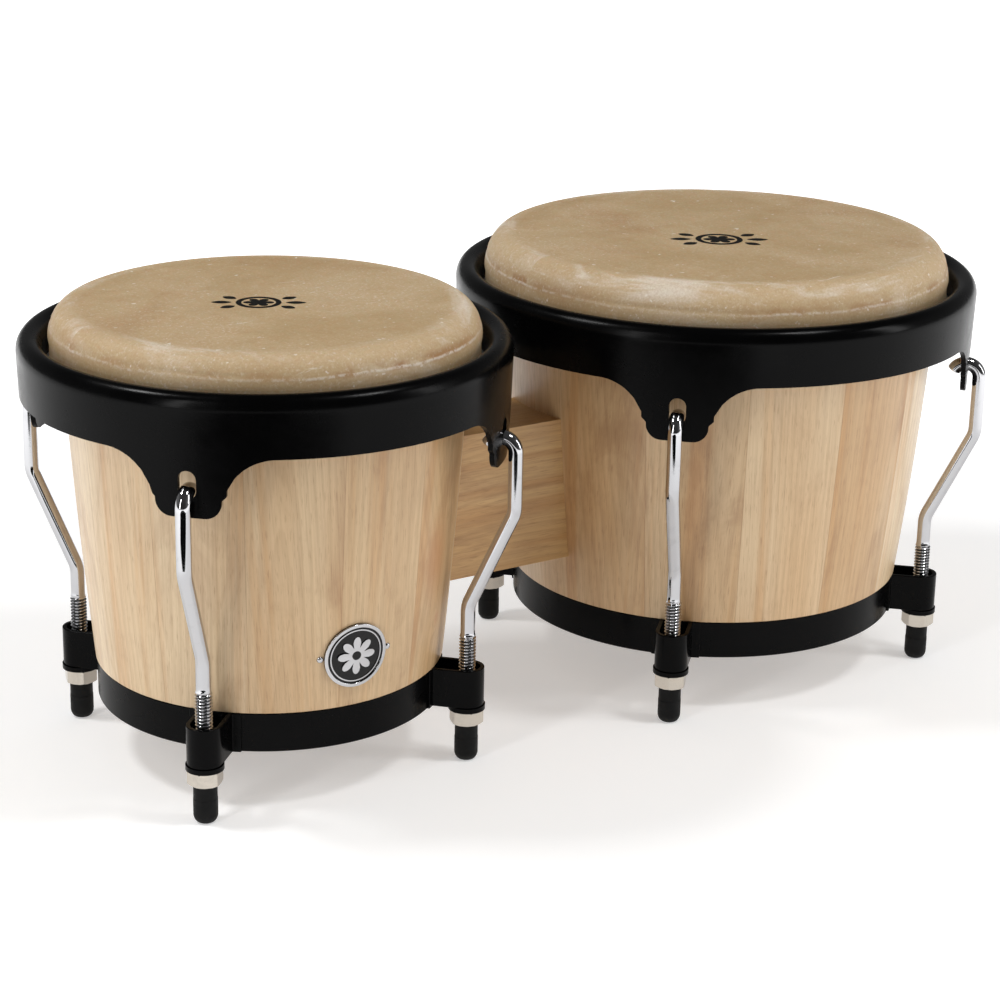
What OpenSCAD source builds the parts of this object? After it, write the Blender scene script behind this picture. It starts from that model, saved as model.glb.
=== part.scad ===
// Bongo drums: a small and a large wooden drum joined by a centre block.
// Millimetres. +X runs from the small drum to the large one, +Z up.
// The origin is on the floor, under the middle of the pair.

/* [Small drum] */
// Shell's outer diameter at the bearing edge
small_top_d = 168.4; // [140:0.2:205]
// Shell's outer diameter at the bottom
small_low_d = 143.2; // [115:0.2:175]
// Shell height
small_h = 166; // [138:0.5:200]
// How far the shell's side swells beyond a straight cone
small_swell = 1.1; // [0:0.1:3]
// Radius of the rounded bearing edge
small_edge_r = 6.5; // [4:0.5:8]
// How far the rim stands outside the shell's top
small_rim_out = 16.9; // [16:0.1:21]
// How far the rim's crest lies below the bearing edge
small_rim_drop = 9.8; // [6:0.1:16]
// Direction of its first lug, in degrees from +X
small_turn = 44.5; // [38:0.5:52]

/* [Large drum] */
// Shell's outer diameter at the bearing edge
large_top_d = 203.6; // [170:0.2:245]
// Shell's outer diameter at the bottom
large_low_d = 175; // [140:0.2:212]
// Shell height
large_h = 169.3; // [140:0.5:204]
// How far the shell's side swells beyond a straight cone
large_swell = 1.6; // [0:0.1:3]
// Radius of the rounded bearing edge
large_edge_r = 9; // [4:0.5:9.5]
// How far the rim stands outside the shell's top
large_rim_out = 15.7; // [15:0.1:21]
// How far the rim's crest lies below the bearing edge
large_rim_drop = 13.1; // [6:0.1:16]
// Direction of its first lug, in degrees from +X
large_turn = 45.8; // [38:0.2:52]

/* [Shells and heads] */
// Thickness of the staves
shell_wall = 8; // [6:0.5:10]
// Thickness of the rawhide
skin_t = 1.5; // [1:0.1:2]
// Gap between the head's shoulder and the rim's inner wall
skin_gap = 2.1; // [0.8:0.1:3]
// How far the skirt is drawn in below the shoulder
skirt_in = 1.1; // [0.8:0.1:2]
// Diameter of the steel flesh hoop
hoop_d = 5.5; // [4:0.5:7]
// Gap between the skirt and the flesh hoop
hoop_gap = 0.35; // [0.3:0.05:1]

/* [Rims] */
// Thickness of the rim's steel
rim_wall = 2.2; // [1.5:0.1:2.6]
// Height of the band from the crest to its lower edge
rim_h = 24.4; // [20:0.1:30]
// Width of the rolled top, outer face to inner leg
roll_w = 10.6; // [9:0.1:12]
// Radius of the roll on its outer side
roll_out = 5; // [4:0.1:6]
// Height of the roll's curve
roll_h = 6.5; // [5:0.1:8]
// Length of the inner leg below the roll's curve
leg_h = 7; // [5:0.1:10]
// Inward slope of the band
rim_slope = 0.033; // [0:0.001:0.06]
// Width of a lug tab
tab_w = 26.6; // [20:0.2:32]
// How far a tab hangs below the band
tab_drop = 24.3; // [20:0.1:32]
// Radius of a tab's lower corners
tab_corner = 6.5; // [3:0.5:7]
// Radius of the flare between tab and band
flare_r = 20; // [14:0.5:24]
// Distance from the tab's middle to where the flare meets the band
flare_x = 34; // [30:0.5:40]
// Depth at which the flare ends on the tab
flare_drop = 12.8; // [9:0.1:15]
// Height of the upright shoulder below the flare
shoulder_h = 2.2; // [1:0.1:2.5]
// Height over which the shoulder slopes in to the tab
shoulder_slope = 2; // [1:0.1:2.5]
// Width of a tab's slot
slot_w = 7.2; // [6.6:0.1:9]
// Height of a tab's slot above the hook's seat
slot_h = 11.5; // [8:0.5:13]

/* [Tuning rods] */
// Diameter of the plain shank
shank_d = 6.1; // [5:0.1:7]
// Outer diameter of the thread
thread_d = 7.1; // [6:0.1:8]
// Height of the thread above the bracket
thread_show = 14.2; // [8:0.1:18]
// Radius of the hook
hook_r = 6.1; // [5.5:0.1:8]
// How far round the hook goes, in degrees
hook_sweep = 150; // [140:1:180]
// Height of the hook's centre above the tab's lower edge
hook_up = 4.5; // [2:0.1:6]
// Radius of the two bends
bend_r = 13; // [8:0.5:20]
// Height of the lower bend above the bracket
bend_low = 27.2; // [22:0.1:34]
// Height of the hook's centre above the upper bend
bend_high = 26; // [20:0.5:32]

/* [Feet and nuts] */
// Height of a rubber cap
cap_h = 16.4; // [12:0.2:20]
// Diameter of a rubber cap
cap_d = 10; // [9:0.2:13]
// Thickness of a cap's floor under the rod
cap_floor = 4.5; // [3:0.5:7]
// Height of a cap's rounded tip
cap_tip_h = 3.5; // [1.5:0.5:5]
// Radius of the flat that a cap stands on
cap_tip_r = 2.5; // [1:0.5:4]
// Gap between a cap and its nut
cap_gap = 0.4; // [0.3:0.1:2]
// Hexagon nut across its flats
nut_af = 12.7; // [11:0.1:14]
// Height of a nut
nut_h = 6.2; // [5:0.1:8]
// Running clearance of the nut's thread, on the radius
nut_fit = 0.05; // [0.03:0.01:0.1]
// Outer diameter of a washer
washer_d = 15.6; // [13:0.1:18]
// Thickness of a washer
washer_t = 2.1; // [1:0.1:3]
// Clearance of a washer round its bolt, on the radius
washer_fit = 0.25; // [0.15:0.05:0.6]

/* [Bottom rings] */
// Height of the ring
ring_h = 16.8; // [14:0.2:22]
// Thickness of the ring
ring_t = 1.6; // [1.2:0.1:2.5]
// How far the ring stands outside the shell's foot
ring_proud = 1.1; // [0.6:0.1:1.4]
// Distance from the ring's outside to a rod's axis
rod_reach = 13.4; // [11:0.1:18]
// Width of a bracket
bracket_w = 14.5; // [13:0.1:17]
// Thickness of a bracket's strap
strap_t = 1.8; // [1.4:0.1:2.4]
// Height of a bracket
bracket_h = 16.8; // [14:0.2:24]
// Width of a bracket's welded flange, each side
flange_w = 3.4; // [2:0.2:8]
// Gap between the shell's side and a bracket where it stands above the ring
bracket_gap = 0.15; // [0.1:0.05:0.4]

/* [Centre block] */
// Clear distance between the two rims
rim_gap = 10.6; // [4:0.2:30]
// Depth of the block, front to back
block_w = 38.4; // [30:0.2:46]
// Height of the block
block_h = 64.5; // [54:0.5:76]
// Height of the block's underside above the shells' feet
block_up = 37.7; // [24:0.5:48]
// Diameter of a tie bolt
tie_d = 8; // [6:0.5:10]
// Distance between the two tie bolts
tie_pitch = 34; // [28:0.5:40]
// Diameter of a tie washer
tie_washer_d = 22; // [18:0.5:24]
// Thickness of a tie washer
tie_washer_t = 2; // [1.5:0.1:3]
// Height of a tie bolt's head and of its nut
tie_head_h = 5.5; // [4:0.1:8]
// Tie bolt's head and nut across their flats
tie_af = 13; // [11:0.5:17]
// Length of thread left past a tie nut
tie_spare = 3; // [1:0.5:6]
// Clearance of a tie bolt in its hole, on the radius
tie_fit = 0.5; // [0.3:0.1:1]
// Clearance round a tie washer in its flat seat, on the radius
tie_seat_fit = 1; // [0.5:0.1:2]
// Depth of a tie washer's seat where it is shallowest
tie_seat_cut = 0.8; // [0.5:0.1:1.5]

/* [Badge] */
// Diameter of the badge
badge_d = 27.5; // [22:0.5:32]
// Thickness of the badge's field
badge_t = 0.8; // [0.6:0.1:1.5]
// Width of the badge's raised border
badge_border = 1.5; // [1:0.1:3]
// Extra height of the badge's border
badge_lip = 0.5; // [0.3:0.1:1]
// Height of the badge's middle above the shell's foot
badge_up = 39.4; // [34:0.2:70]
// Direction of the badge from the small drum's axis, in degrees from +X
badge_turn = -91; // [-110:0.5:-70]
// Distance from the badge's middle to a tack
tack_x = 15.2; // [13:0.1:19]
// Diameter of a tack's head
tack_d = 2.8; // [2:0.1:3.4]
// Height of a tack's head
tack_h = 0.9; // [0.5:0.1:1.4]
// Gap between the badge and the wood
badge_seat = 0.05; // [0:0.01:0.3]

/* [Hidden] */
SMALL = 0;
LARGE = 1;
LUGS = 4;
OVER = 1;
CURVE_STEPS = 8;
$fn = 96;
EDGE_FN = 48;
ROD_SIDES = 12;
BEND_STEPS = 4;
HOOK_STEPS = 9;
// Width of the bevel on a hexagon's corners, and its height as a share of that
HEX_BEVEL = 0.8;
HEX_SLOPE = 0.6;
// Degrees left out where two arcs meet, so that their points stay apart
ARC_TRIM = 10;
// Degrees of the flare left out where it runs out into the band's lower edge
FLARE_TRIM = 5;
// Share of the bearing edge's radius by which the wall is thicker at the top
TOP_THICKENING = 0.25;
// Chamfer on the upper edge of a rubber cap
CAP_CHAMFER = 0.5;
// The two tie bolts, lower one first
TIES = [0, 1];

// Heights of the feet, from the floor up
nut_z = cap_h + cap_gap;
washer_z = nut_z + nut_h;
bracket_z = washer_z + washer_t;
ring_z = bracket_z + (bracket_h - ring_h) / 2;
shell_z = ring_z;
thread_z = bracket_z + bracket_h + thread_show;

// The two drums' sizes, small one first
top_r = [small_top_d / 2, large_top_d / 2];
low_r = [small_low_d / 2, large_low_d / 2];
shell_h = [small_h, large_h];
swell = [small_swell, large_swell];
lug_turn = [small_turn, large_turn];
edge_r = [small_edge_r, large_edge_r];
rim_r = [top_r[SMALL] + small_rim_out, top_r[LARGE] + large_rim_out];
crest_z = [shell_z + small_h - small_rim_drop, shell_z + large_h - large_rim_drop];
axis_x = [-rim_r[LARGE] - rim_gap / 2, rim_r[SMALL] + rim_gap / 2];
ring_r = low_r + [ring_proud, ring_proud];
rod_r = ring_r + [rod_reach, rod_reach];

// Heights that follow from the rim's
roll_z = crest_z - [roll_h, roll_h];
band_z = crest_z - [rim_h, rim_h];
tab_z = band_z - [tab_drop, tab_drop];
leg_z = roll_z - [leg_h, leg_h];
hook_z = tab_z + [hook_up, hook_up];
inner_r = rim_r - [roll_w, roll_w];
skin_r = inner_r - [skin_gap, skin_gap];
skirt_r = skin_r - [skirt_in, skirt_in];
block_z = shell_z + block_up;

function band_r(d, z) = rim_r[d] - rim_slope * (roll_z[d] - z);
function hook_axis_r(d) = band_r(d, hook_z[d] + hook_r) - rim_wall / 2;

// Outer radius of a shell at height z: a straight cone plus a shallow swell
function shell_t(d, z) = (z - shell_z) / shell_h[d];
function shell_r(d, z) =
    low_r[d] + (top_r[d] - low_r[d]) * shell_t(d, z) + 4 * swell[d] * shell_t(d, z) * (1 - shell_t(d, z));

// The badge's height, the shell's lean there, and the radius that the badge is bent to
badge_z = shell_z + badge_up;
badge_lean = atan((shell_r(SMALL, badge_z + OVER) - shell_r(SMALL, badge_z - OVER)) / (2 * OVER));
badge_bend = shell_r(SMALL, badge_z) / cos(badge_lean);

// Points on an arc of an ellipse
function arc(cx, cz, rx, rz, from, to, steps = CURVE_STEPS) =
    [for (i = [0:steps]) let (a = from + (to - from) * i / steps) [cx + rx * cos(a), cz + rz * sin(a)]];

DRUM_NAMES = ["macho", "hembra"];

// Puts a piece on a drum's axis
module on_drum(d) {
    translate([axis_x[d], 0, 0]) children();
}

// Turns a piece from the drum's +X side to lug i, counted from 0
module at_lug(d, i) {
    on_drum(d) rotate([0, 0, lug_turn[d] + i * 360 / LUGS]) children();
}

// A hexagon prism with its upper and lower corners bevelled
module hexagon(af, h) {
    corner_r = af / 2 / cos(30);
    bevel_h = HEX_BEVEL * HEX_SLOPE;
    intersection() {
        cylinder(r = corner_r, h = h, $fn = 6);
        rotate_extrude() polygon([
            [0, 0], [corner_r - HEX_BEVEL, 0], [corner_r, bevel_h],
            [corner_r, h - bevel_h], [corner_r - HEX_BEVEL, h], [0, h]
        ]);
    }
}

// ---- Shell ----

// Radius of a shell's inside at height z: the wall thickens a little towards the bearing edge
function inside_r(d, z) = shell_r(d, z) - shell_wall - edge_r[d] * TOP_THICKENING * shell_t(d, z);

module shell_section(d) {
    top_z = shell_z + shell_h[d];
    seat_r = ring_r[d] - ring_t;
    seat_z = ring_z + ring_h;
    side_top = top_z - edge_r[d];
    crown_r = shell_r(d, side_top) - edge_r[d];
    side = [
        for (i = [0:CURVE_STEPS])
            let (z = seat_z + (side_top - seat_z) * i / CURVE_STEPS) [shell_r(d, z), z]
    ];
    inside = [
        for (i = [0:CURVE_STEPS])
            let (z = top_z - shell_h[d] * i / CURVE_STEPS) [inside_r(d, z), z]
    ];
    polygon(concat(
        [[seat_r, ring_z], [seat_r, seat_z]],
        side,
        arc(crown_r, side_top, edge_r[d], edge_r[d], ARC_TRIM, 90),
        inside
    ));
}

module shell(d) {
    color(d == SMALL ? "burlywood" : "tan") difference() {
        on_drum(d) rotate_extrude() shell_section(d);
        for (k = TIES) tie_cut(d, k);
    }
}

// ---- Head ----

module skin_section(d) {
    top_z = shell_z + shell_h[d];
    flat_r = top_r[d] - edge_r[d] + skin_t / 2;
    wide_z = crest_z[d] - skin_t;
    low_z = leg_z[d] - hoop_d - skin_t;
    outer = concat(
        arc(flat_r, wide_z, skin_r[d] - flat_r, top_z + skin_t - wide_z, 90, 0),
        [[skirt_r[d], wide_z - hoop_d], [skirt_r[d], low_z]]
    );
    inner = concat(
        [[skirt_r[d] - skin_t, low_z], [skirt_r[d] - skin_t, wide_z - hoop_d]],
        arc(flat_r, wide_z, skin_r[d] - skin_t - flat_r, top_z - wide_z, 0, 90)
    );
    polygon(concat([[0, top_z + skin_t]], outer, inner, [[0, top_z]]));
}

module head(d) {
    color("wheat") on_drum(d) rotate_extrude() skin_section(d);
}

module flesh_hoop(d) {
    color("silver") on_drum(d) rotate_extrude()
        translate([skirt_r[d] + hoop_gap + hoop_d / 2, leg_z[d] - hoop_d / 2])
            circle(d = hoop_d, $fn = EDGE_FN);
}

// ---- Rim ----

module rim_section(d) {
    crest_r = rim_r[d] - roll_out;
    roll_in = roll_w - roll_out;
    low_z = tab_z[d];
    polygon(concat(
        [[band_r(d, low_z), low_z]],
        arc(crest_r, roll_z[d], roll_out, roll_h, 0, 90),
        arc(crest_r, roll_z[d], roll_in, roll_h, 90 + ARC_TRIM, 180),
        [[inner_r[d], leg_z[d]], [inner_r[d] + rim_wall, leg_z[d]]],
        arc(crest_r, roll_z[d], roll_in - rim_wall, roll_h - rim_wall, 180, 90),
        arc(crest_r, roll_z[d], roll_out - rim_wall, roll_h - rim_wall, 90 - ARC_TRIM, 0),
        [[band_r(d, low_z) - rim_wall, low_z]]
    ));
}

// Outline of a tab, with the band's lower edge at 0 and the tab hanging below
module tab_outline() {
    flare_end = 180 - asin((flare_r - flare_drop) / flare_r);
    half = concat(
        [[flare_x, OVER]],
        arc(flare_x, -flare_r, flare_r, flare_r, 90 + FLARE_TRIM, flare_end),
        [[flare_x + flare_r * cos(flare_end), -flare_drop - shoulder_h]],
        [[tab_w / 2, -flare_drop - shoulder_h - shoulder_slope]],
        arc(tab_w / 2 - tab_corner, tab_corner - tab_drop, tab_corner, tab_corner, 0, -90)
    );
    last = len(half) - 1;
    polygon(concat(half, [for (i = [last:-1:0]) [-half[i][0], half[i][1]]]));
}

// Stands an outline up across the +X side, through the band at radius r
module through_band(d, z) {
    translate([rim_r[d] - roll_w - OVER, 0, z]) rotate([90, 0, 90])
        linear_extrude(roll_w + 2 * OVER) children();
}

// The height at which the hook's shank clears the slot's lower edge
function slot_z(d) = hook_z[d] + sqrt(pow(hook_r - shank_d / 2, 2) - pow(rim_wall / 2, 2)) - nut_fit;

module slot_outline(d) {
    for (z = [slot_w / 2, slot_h - slot_w / 2]) translate([0, z]) circle(d = slot_w, $fn = EDGE_FN);
    translate([-slot_w / 2, slot_w / 2]) square([slot_w, slot_h - slot_w]);
}

module rim(d) {
    color([0.08, 0.08, 0.08]) difference() {
        on_drum(d) rotate_extrude() rim_section(d);
        difference() {
            on_drum(d) translate([0, 0, tab_z[d] - OVER])
                cylinder(r = rim_r[d] + OVER, h = tab_drop + OVER);
            for (i = [0:LUGS - 1]) at_lug(d, i) through_band(d, band_z[d]) tab_outline();
        }
        for (i = [0:LUGS - 1]) at_lug(d, i) through_band(d, slot_z(d)) slot_outline(d);
    }
}

// ---- Bottom ring with its welded brackets ----

// A folded strap: two flanges on the ring, two legs and a round nose about the rod
module bracket(d) {
    root_x = ring_r[d] - ring_t / 2;
    top_z = bracket_z + bracket_h;
    difference() {
        union() {
            translate([rod_r[d], 0, bracket_z]) cylinder(d = bracket_w, h = bracket_h);
            translate([root_x, -bracket_w / 2, bracket_z]) cube([rod_r[d] - root_x, bracket_w, bracket_h]);
            intersection() {
                translate([0, 0, bracket_z]) cylinder(r = ring_r[d] + strap_t, h = bracket_h);
                translate([root_x - rod_reach, -bracket_w / 2 - flange_w, bracket_z])
                    cube([rod_reach * 2, bracket_w + 2 * flange_w, bracket_h]);
            }
        }
        translate([rod_r[d], 0, bracket_z - OVER])
            cylinder(d = bracket_w - 2 * strap_t, h = bracket_h + 2 * OVER);
        translate([root_x - rod_reach, -bracket_w / 2 + strap_t, bracket_z - OVER])
            cube([rod_r[d] - root_x + rod_reach, bracket_w - 2 * strap_t, bracket_h + 2 * OVER]);
        translate([0, 0, bracket_z - OVER]) cylinder(r = root_x, h = bracket_h + 2 * OVER);
        translate([0, 0, ring_z + ring_h]) cylinder(r = shell_r(d, top_z) + bracket_gap, h = bracket_h);
    }
}

module bottom_ring(d) {
    color([0.1, 0.1, 0.1]) union() {
        on_drum(d) difference() {
            translate([0, 0, ring_z]) cylinder(r = ring_r[d], h = ring_h);
            translate([0, 0, ring_z - OVER]) cylinder(r = ring_r[d] - ring_t, h = ring_h + 2 * OVER);
        }
        for (i = [0:LUGS - 1]) at_lug(d, i) bracket(d);
    }
}

// ---- Tuning rod, nut, washer and rubber foot ----

// The rod's centreline in the plane of the drum's axis: [radius, height, lean from upright]
function rod_path(d) =
    let (
        low_x = rod_r[d],
        high_x = hook_axis_r(d) + hook_r,
        low_bend_z = bracket_z + bracket_h + bend_low,
        high_bend_z = hook_z[d] - bend_high,
        slant = atan((high_x - low_x) / (high_bend_z - low_bend_z)),
        low_z = low_bend_z - bend_r * tan(slant / 2),
        high_z = high_bend_z + bend_r * tan(slant / 2)
    )
    concat(
        [[low_x, thread_z - OVER, 0]],
        [for (a = turns(slant, BEND_STEPS)) [low_x + bend_r * (1 - cos(a)), low_z + bend_r * sin(a), a]],
        [for (a = turns(-slant, BEND_STEPS))
            [high_x - bend_r * (1 - cos(slant + a)), high_z - bend_r * sin(slant + a), slant + a]],
        [for (a = turns(hook_sweep, HOOK_STEPS))
            [high_x - hook_r * (1 - cos(a)), hook_z[d] + hook_r * sin(a), -a]]
    );

// Even steps of an angle, from nothing to the whole
function turns(angle, steps) = [for (i = [0:steps]) angle * i / steps];

// A round bar of diameter d along a path of [radius, height, lean] points
module swept_bar(path, d) {
    last = len(path) - 1;
    points = [
        for (p = path)
            for (a = turns(360 - 360 / ROD_SIDES, ROD_SIDES - 1))
                [p[0] + d / 2 * cos(a) * cos(p[2]), d / 2 * sin(a), p[1] - d / 2 * cos(a) * sin(p[2])]
    ];
    sides = [
        for (i = [0:last - 1])
            for (k = [0:ROD_SIDES - 1])
                let (m = (k + 1) % ROD_SIDES, low = i * ROD_SIDES, high = low + ROD_SIDES)
                    [low + k, high + k, high + m, low + m]
    ];
    ends = [
        [for (k = [0:ROD_SIDES - 1]) k],
        [for (k = [ROD_SIDES - 1:-1:0]) last * ROD_SIDES + k]
    ];
    polyhedron(points, concat(sides, ends), convexity = 6);
}

module rod(d, i) {
    color("silver") at_lug(d, i) union() {
        translate([rod_r[d], 0, cap_floor]) cylinder(d = thread_d, h = thread_z - cap_floor);
        swept_bar(rod_path(d), shank_d);
    }
}

module nut(d, i) {
    color("antiquewhite") at_lug(d, i) translate([rod_r[d], 0, nut_z]) difference() {
        hexagon(nut_af, nut_h);
        translate([0, 0, -OVER]) cylinder(r = thread_d / 2 + nut_fit, h = nut_h + 2 * OVER);
    }
}

module washer(d, i) {
    color([0.1, 0.1, 0.1]) at_lug(d, i) translate([rod_r[d], 0, washer_z]) difference() {
        cylinder(d = washer_d, h = washer_t);
        translate([0, 0, -OVER]) cylinder(r = thread_d / 2 + washer_fit, h = washer_t + 2 * OVER);
    }
}

module foot(d, i) {
    color([0.12, 0.12, 0.12]) at_lug(d, i) translate([rod_r[d], 0, 0]) rotate_extrude() polygon(concat(
        [[0, 0]],
        arc(cap_tip_r, cap_tip_h, cap_d / 2 - cap_tip_r, cap_tip_h, -90, 0),
        [[cap_d / 2, cap_h - CAP_CHAMFER], [cap_d / 2 - CAP_CHAMFER, cap_h]],
        [[thread_d / 2, cap_h], [thread_d / 2, cap_floor], [0, cap_floor]]
    ));
}

// ---- Centre block and its hidden tie bolts ----

// Height of tie bolt k
function tie_z(k) = block_z + block_h / 2 + (k - 0.5) * tie_pitch;
// Distance from a drum's axis to the flat seat of a tie washer
function tie_seat(d, k) = shell_r(d, tie_z(k) + tie_washer_d / 2) - shell_wall + tie_seat_cut;

// Turns a piece that points along +X to point from a drum's axis to the block, at tie bolt k
module at_tie(d, k) {
    on_drum(d) rotate([0, 0, d == SMALL ? 0 : 180]) translate([0, 0, tie_z(k)])
        rotate([0, 90, 0]) children();
}

// The bolt hole and the washer's flat seat in a shell's wall
module tie_cut(d, k) {
    at_tie(d, k) {
        translate([0, 0, tie_seat(d, k) - tie_washer_d])
            cylinder(d = tie_washer_d + 2 * tie_seat_fit, h = tie_washer_d);
        cylinder(d = tie_d + 2 * tie_fit, h = top_r[d] + OVER);
    }
}

module centre_block() {
    from_x = axis_x[SMALL];
    color("burlywood") difference() {
        translate([from_x, -block_w / 2, block_z]) cube([axis_x[LARGE] - from_x, block_w, block_h]);
        for (d = [SMALL, LARGE])
            on_drum(d) rotate_extrude() shell_fill(d, block_z - OVER, block_z + block_h + OVER);
        for (k = TIES)
            at_tie(SMALL, k) cylinder(d = tie_d + 2 * tie_fit, h = axis_x[LARGE] - from_x);
    }
}

// Half section of a shell's outer form, solid to its axis, between two heights
module shell_fill(d, low, high) {
    steps = 2 * CURVE_STEPS;
    side = [for (i = [0:steps]) let (z = low + (high - low) * i / steps) [shell_r(d, z), z]];
    polygon(concat([[0, low]], side, [[0, high]]));
}

module tie_bolt(k) {
    length = axis_x[LARGE] - axis_x[SMALL] - tie_seat(LARGE, k) - tie_seat(SMALL, k) + 2 * tie_washer_t;
    color("gray") at_tie(SMALL, k) translate([0, 0, tie_seat(SMALL, k) - tie_washer_t]) union() {
        cylinder(d = tie_d, h = length + tie_head_h + tie_spare);
        translate([0, 0, -tie_head_h]) hexagon(tie_af, tie_head_h);
    }
}

module tie_washers(d) {
    color("silver") for (k = TIES)
        at_tie(d, k) translate([0, 0, tie_seat(d, k) - tie_washer_t]) difference() {
            cylinder(d = tie_washer_d, h = tie_washer_t);
            translate([0, 0, -OVER]) cylinder(r = tie_d / 2 + washer_fit, h = tie_washer_t + 2 * OVER);
        }
}

module tie_nuts() {
    color("gray") for (k = TIES)
        at_tie(LARGE, k) translate([0, 0, tie_seat(LARGE, k) - tie_washer_t - tie_head_h]) difference() {
            hexagon(tie_af, tie_head_h);
            translate([0, 0, -OVER]) cylinder(r = tie_d / 2 + nut_fit, h = tie_head_h + 2 * OVER);
        }
}

// ---- Badge on the small drum's front ----

// Sets a piece on the small drum's front: X out of the wood, Z up along it
module at_badge() {
    on_drum(SMALL) rotate([0, 0, badge_turn]) translate([shell_r(SMALL, badge_z), 0, badge_z])
        rotate([0, badge_lean, 0]) children();
}

// A layer bent to the shell, between two heights above the wood
module bent_layer(from, to) {
    translate([-badge_bend, 0, -badge_d]) difference() {
        cylinder(r = badge_bend + to, h = 2 * badge_d);
        translate([0, 0, -OVER]) cylinder(r = badge_bend + from, h = 2 * (badge_d + OVER));
    }
}

// A round bar that points out of the wood
module out_bar(y, d) {
    translate([-badge_d / 2, y, 0]) rotate([0, 90, 0]) cylinder(d = d, h = badge_d);
}

module badge_plate() {
    color([0.1, 0.1, 0.1]) at_badge() difference() {
        intersection() {
            bent_layer(badge_seat, badge_t + badge_lip);
            out_bar(0, badge_d);
        }
        difference() {
            out_bar(0, badge_d - 2 * badge_border);
            translate([-badge_bend, 0, -badge_d]) cylinder(r = badge_bend + badge_t, h = 2 * badge_d);
        }
    }
}

module badge_tacks() {
    color("silver") at_badge() for (side = [-1, 1])
        round_badge(side * asin(tack_x / badge_bend)) rotate([0, 90, 0]) rotate_extrude() polygon(concat(
            [[0, badge_seat]],
            arc(0, badge_seat, tack_d / 2, tack_h, 0, 90)
        ));
}

// Moves a piece round the badge's bend by an angle
module round_badge(angle) {
    translate([-badge_bend, 0, 0]) rotate([0, 0, angle]) translate([badge_bend, 0, 0]) children();
}

// ---- One line for each node ----

for (d = [SMALL, LARGE]) {
    shell(d);
    head(d);
    flesh_hoop(d);
    rim(d);
    bottom_ring(d);
    tie_washers(d);
    for (i = [0:LUGS - 1]) {
        rod(d, i);
        nut(d, i);
        washer(d, i);
        foot(d, i);
    }
}
centre_block();
tie_bolt(1);  // upper_tie_bolt
tie_bolt(0);  // lower_tie_bolt
tie_nuts();
badge_plate();
badge_tacks();
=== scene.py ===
"""The looks of a pair of bongo drums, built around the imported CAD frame. Lengths are in metres."""
import math

import bmesh
import bpy
import numpy as np
from mathutils import Matrix, Vector


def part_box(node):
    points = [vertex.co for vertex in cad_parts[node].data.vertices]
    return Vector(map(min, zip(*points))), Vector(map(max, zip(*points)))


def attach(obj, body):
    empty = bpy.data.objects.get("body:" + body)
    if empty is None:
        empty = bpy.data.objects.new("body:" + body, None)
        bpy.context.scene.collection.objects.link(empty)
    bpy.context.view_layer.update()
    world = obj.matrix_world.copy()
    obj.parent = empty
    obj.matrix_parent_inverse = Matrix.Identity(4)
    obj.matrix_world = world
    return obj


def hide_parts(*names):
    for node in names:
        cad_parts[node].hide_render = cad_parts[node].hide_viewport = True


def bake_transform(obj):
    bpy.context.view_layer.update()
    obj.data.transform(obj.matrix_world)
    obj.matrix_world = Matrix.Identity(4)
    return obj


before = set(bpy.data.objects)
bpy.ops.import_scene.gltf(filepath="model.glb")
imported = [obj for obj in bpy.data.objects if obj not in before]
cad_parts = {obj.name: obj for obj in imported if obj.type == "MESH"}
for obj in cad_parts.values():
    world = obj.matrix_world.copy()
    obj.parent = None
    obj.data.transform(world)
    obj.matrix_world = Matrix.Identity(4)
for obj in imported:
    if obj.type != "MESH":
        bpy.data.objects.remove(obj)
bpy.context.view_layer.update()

MM = 0.001
DRUMS = ("macho", "hembra")
LUGS = 4
ROOT = "drums"
TURN = 2 * math.pi

# Sizes that the CAD nodes' boxes don't give, as the design has them
SHELL_WALL = 8 * MM
SKIN_T = 1.5 * MM
SKIRT_IN = 1.1 * MM
CREASE_UP = 4.2 * MM
RIM_WALL = 2.2 * MM
RIM_H = 24.4 * MM
ROLL_W = 10.6 * MM
ROLL_OUT = 5 * MM
ROLL_H = 6.5 * MM
LEG_H = 7 * MM
RIM_SLOPE = 0.033
TAB_W = 26.6 * MM
TAB_DROP = 24.3 * MM
TAB_CORNER = 6.5 * MM
FLARE_R = 20 * MM
FLARE_X = 34 * MM
FLARE_DROP = 12.8 * MM
SHOULDER_H = 2.2 * MM
SHOULDER_SLOPE = 2 * MM
SLOT_W = 7.2 * MM
SLOT_H = 11.5 * MM
SHANK_R = 3.05 * MM
THREAD_R = 3.55 * MM
THREAD_PITCH = 1.4 * MM
THREAD_DEPTH = 0.45 * MM
THREAD_SHOW = 14.2 * MM
HOOK_R = 6.1 * MM
HOOK_SWEEP = math.radians(150)
HOOK_UP = 4.5 * MM
BEND_R = 13 * MM
BEND_LOW = 27.2 * MM
BEND_HIGH = 26 * MM
CAP_FLOOR = 4.5 * MM
RING_H = 16.8 * MM
RING_T = 1.6 * MM
RING_PROUD = 1.1 * MM
ROD_REACH = 13.4 * MM
BRACKET_W = 14.5 * MM
STRAP_T = 1.8 * MM
FLANGE_W = 3.4 * MM
FLANGE_PROUD = 0.9 * MM
PRINT_TURN = math.radians(-30)
CHALK_TURN = math.radians(-135)
HIDE_SEED = {"macho": 1.7, "hembra": 5.2}
BADGE_TURN = math.radians(-91)
BADGE_T = 0.8 * MM
BADGE_BORDER = 1.5 * MM
BADGE_LIP = 0.5 * MM
SWELL = {"macho": 1.1 * MM, "hembra": 1.6 * MM}
EDGE_R = {"macho": 6.5 * MM, "hembra": 9 * MM}
RIM_OUT = {"macho": 16.9 * MM, "hembra": 15.7 * MM}

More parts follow.
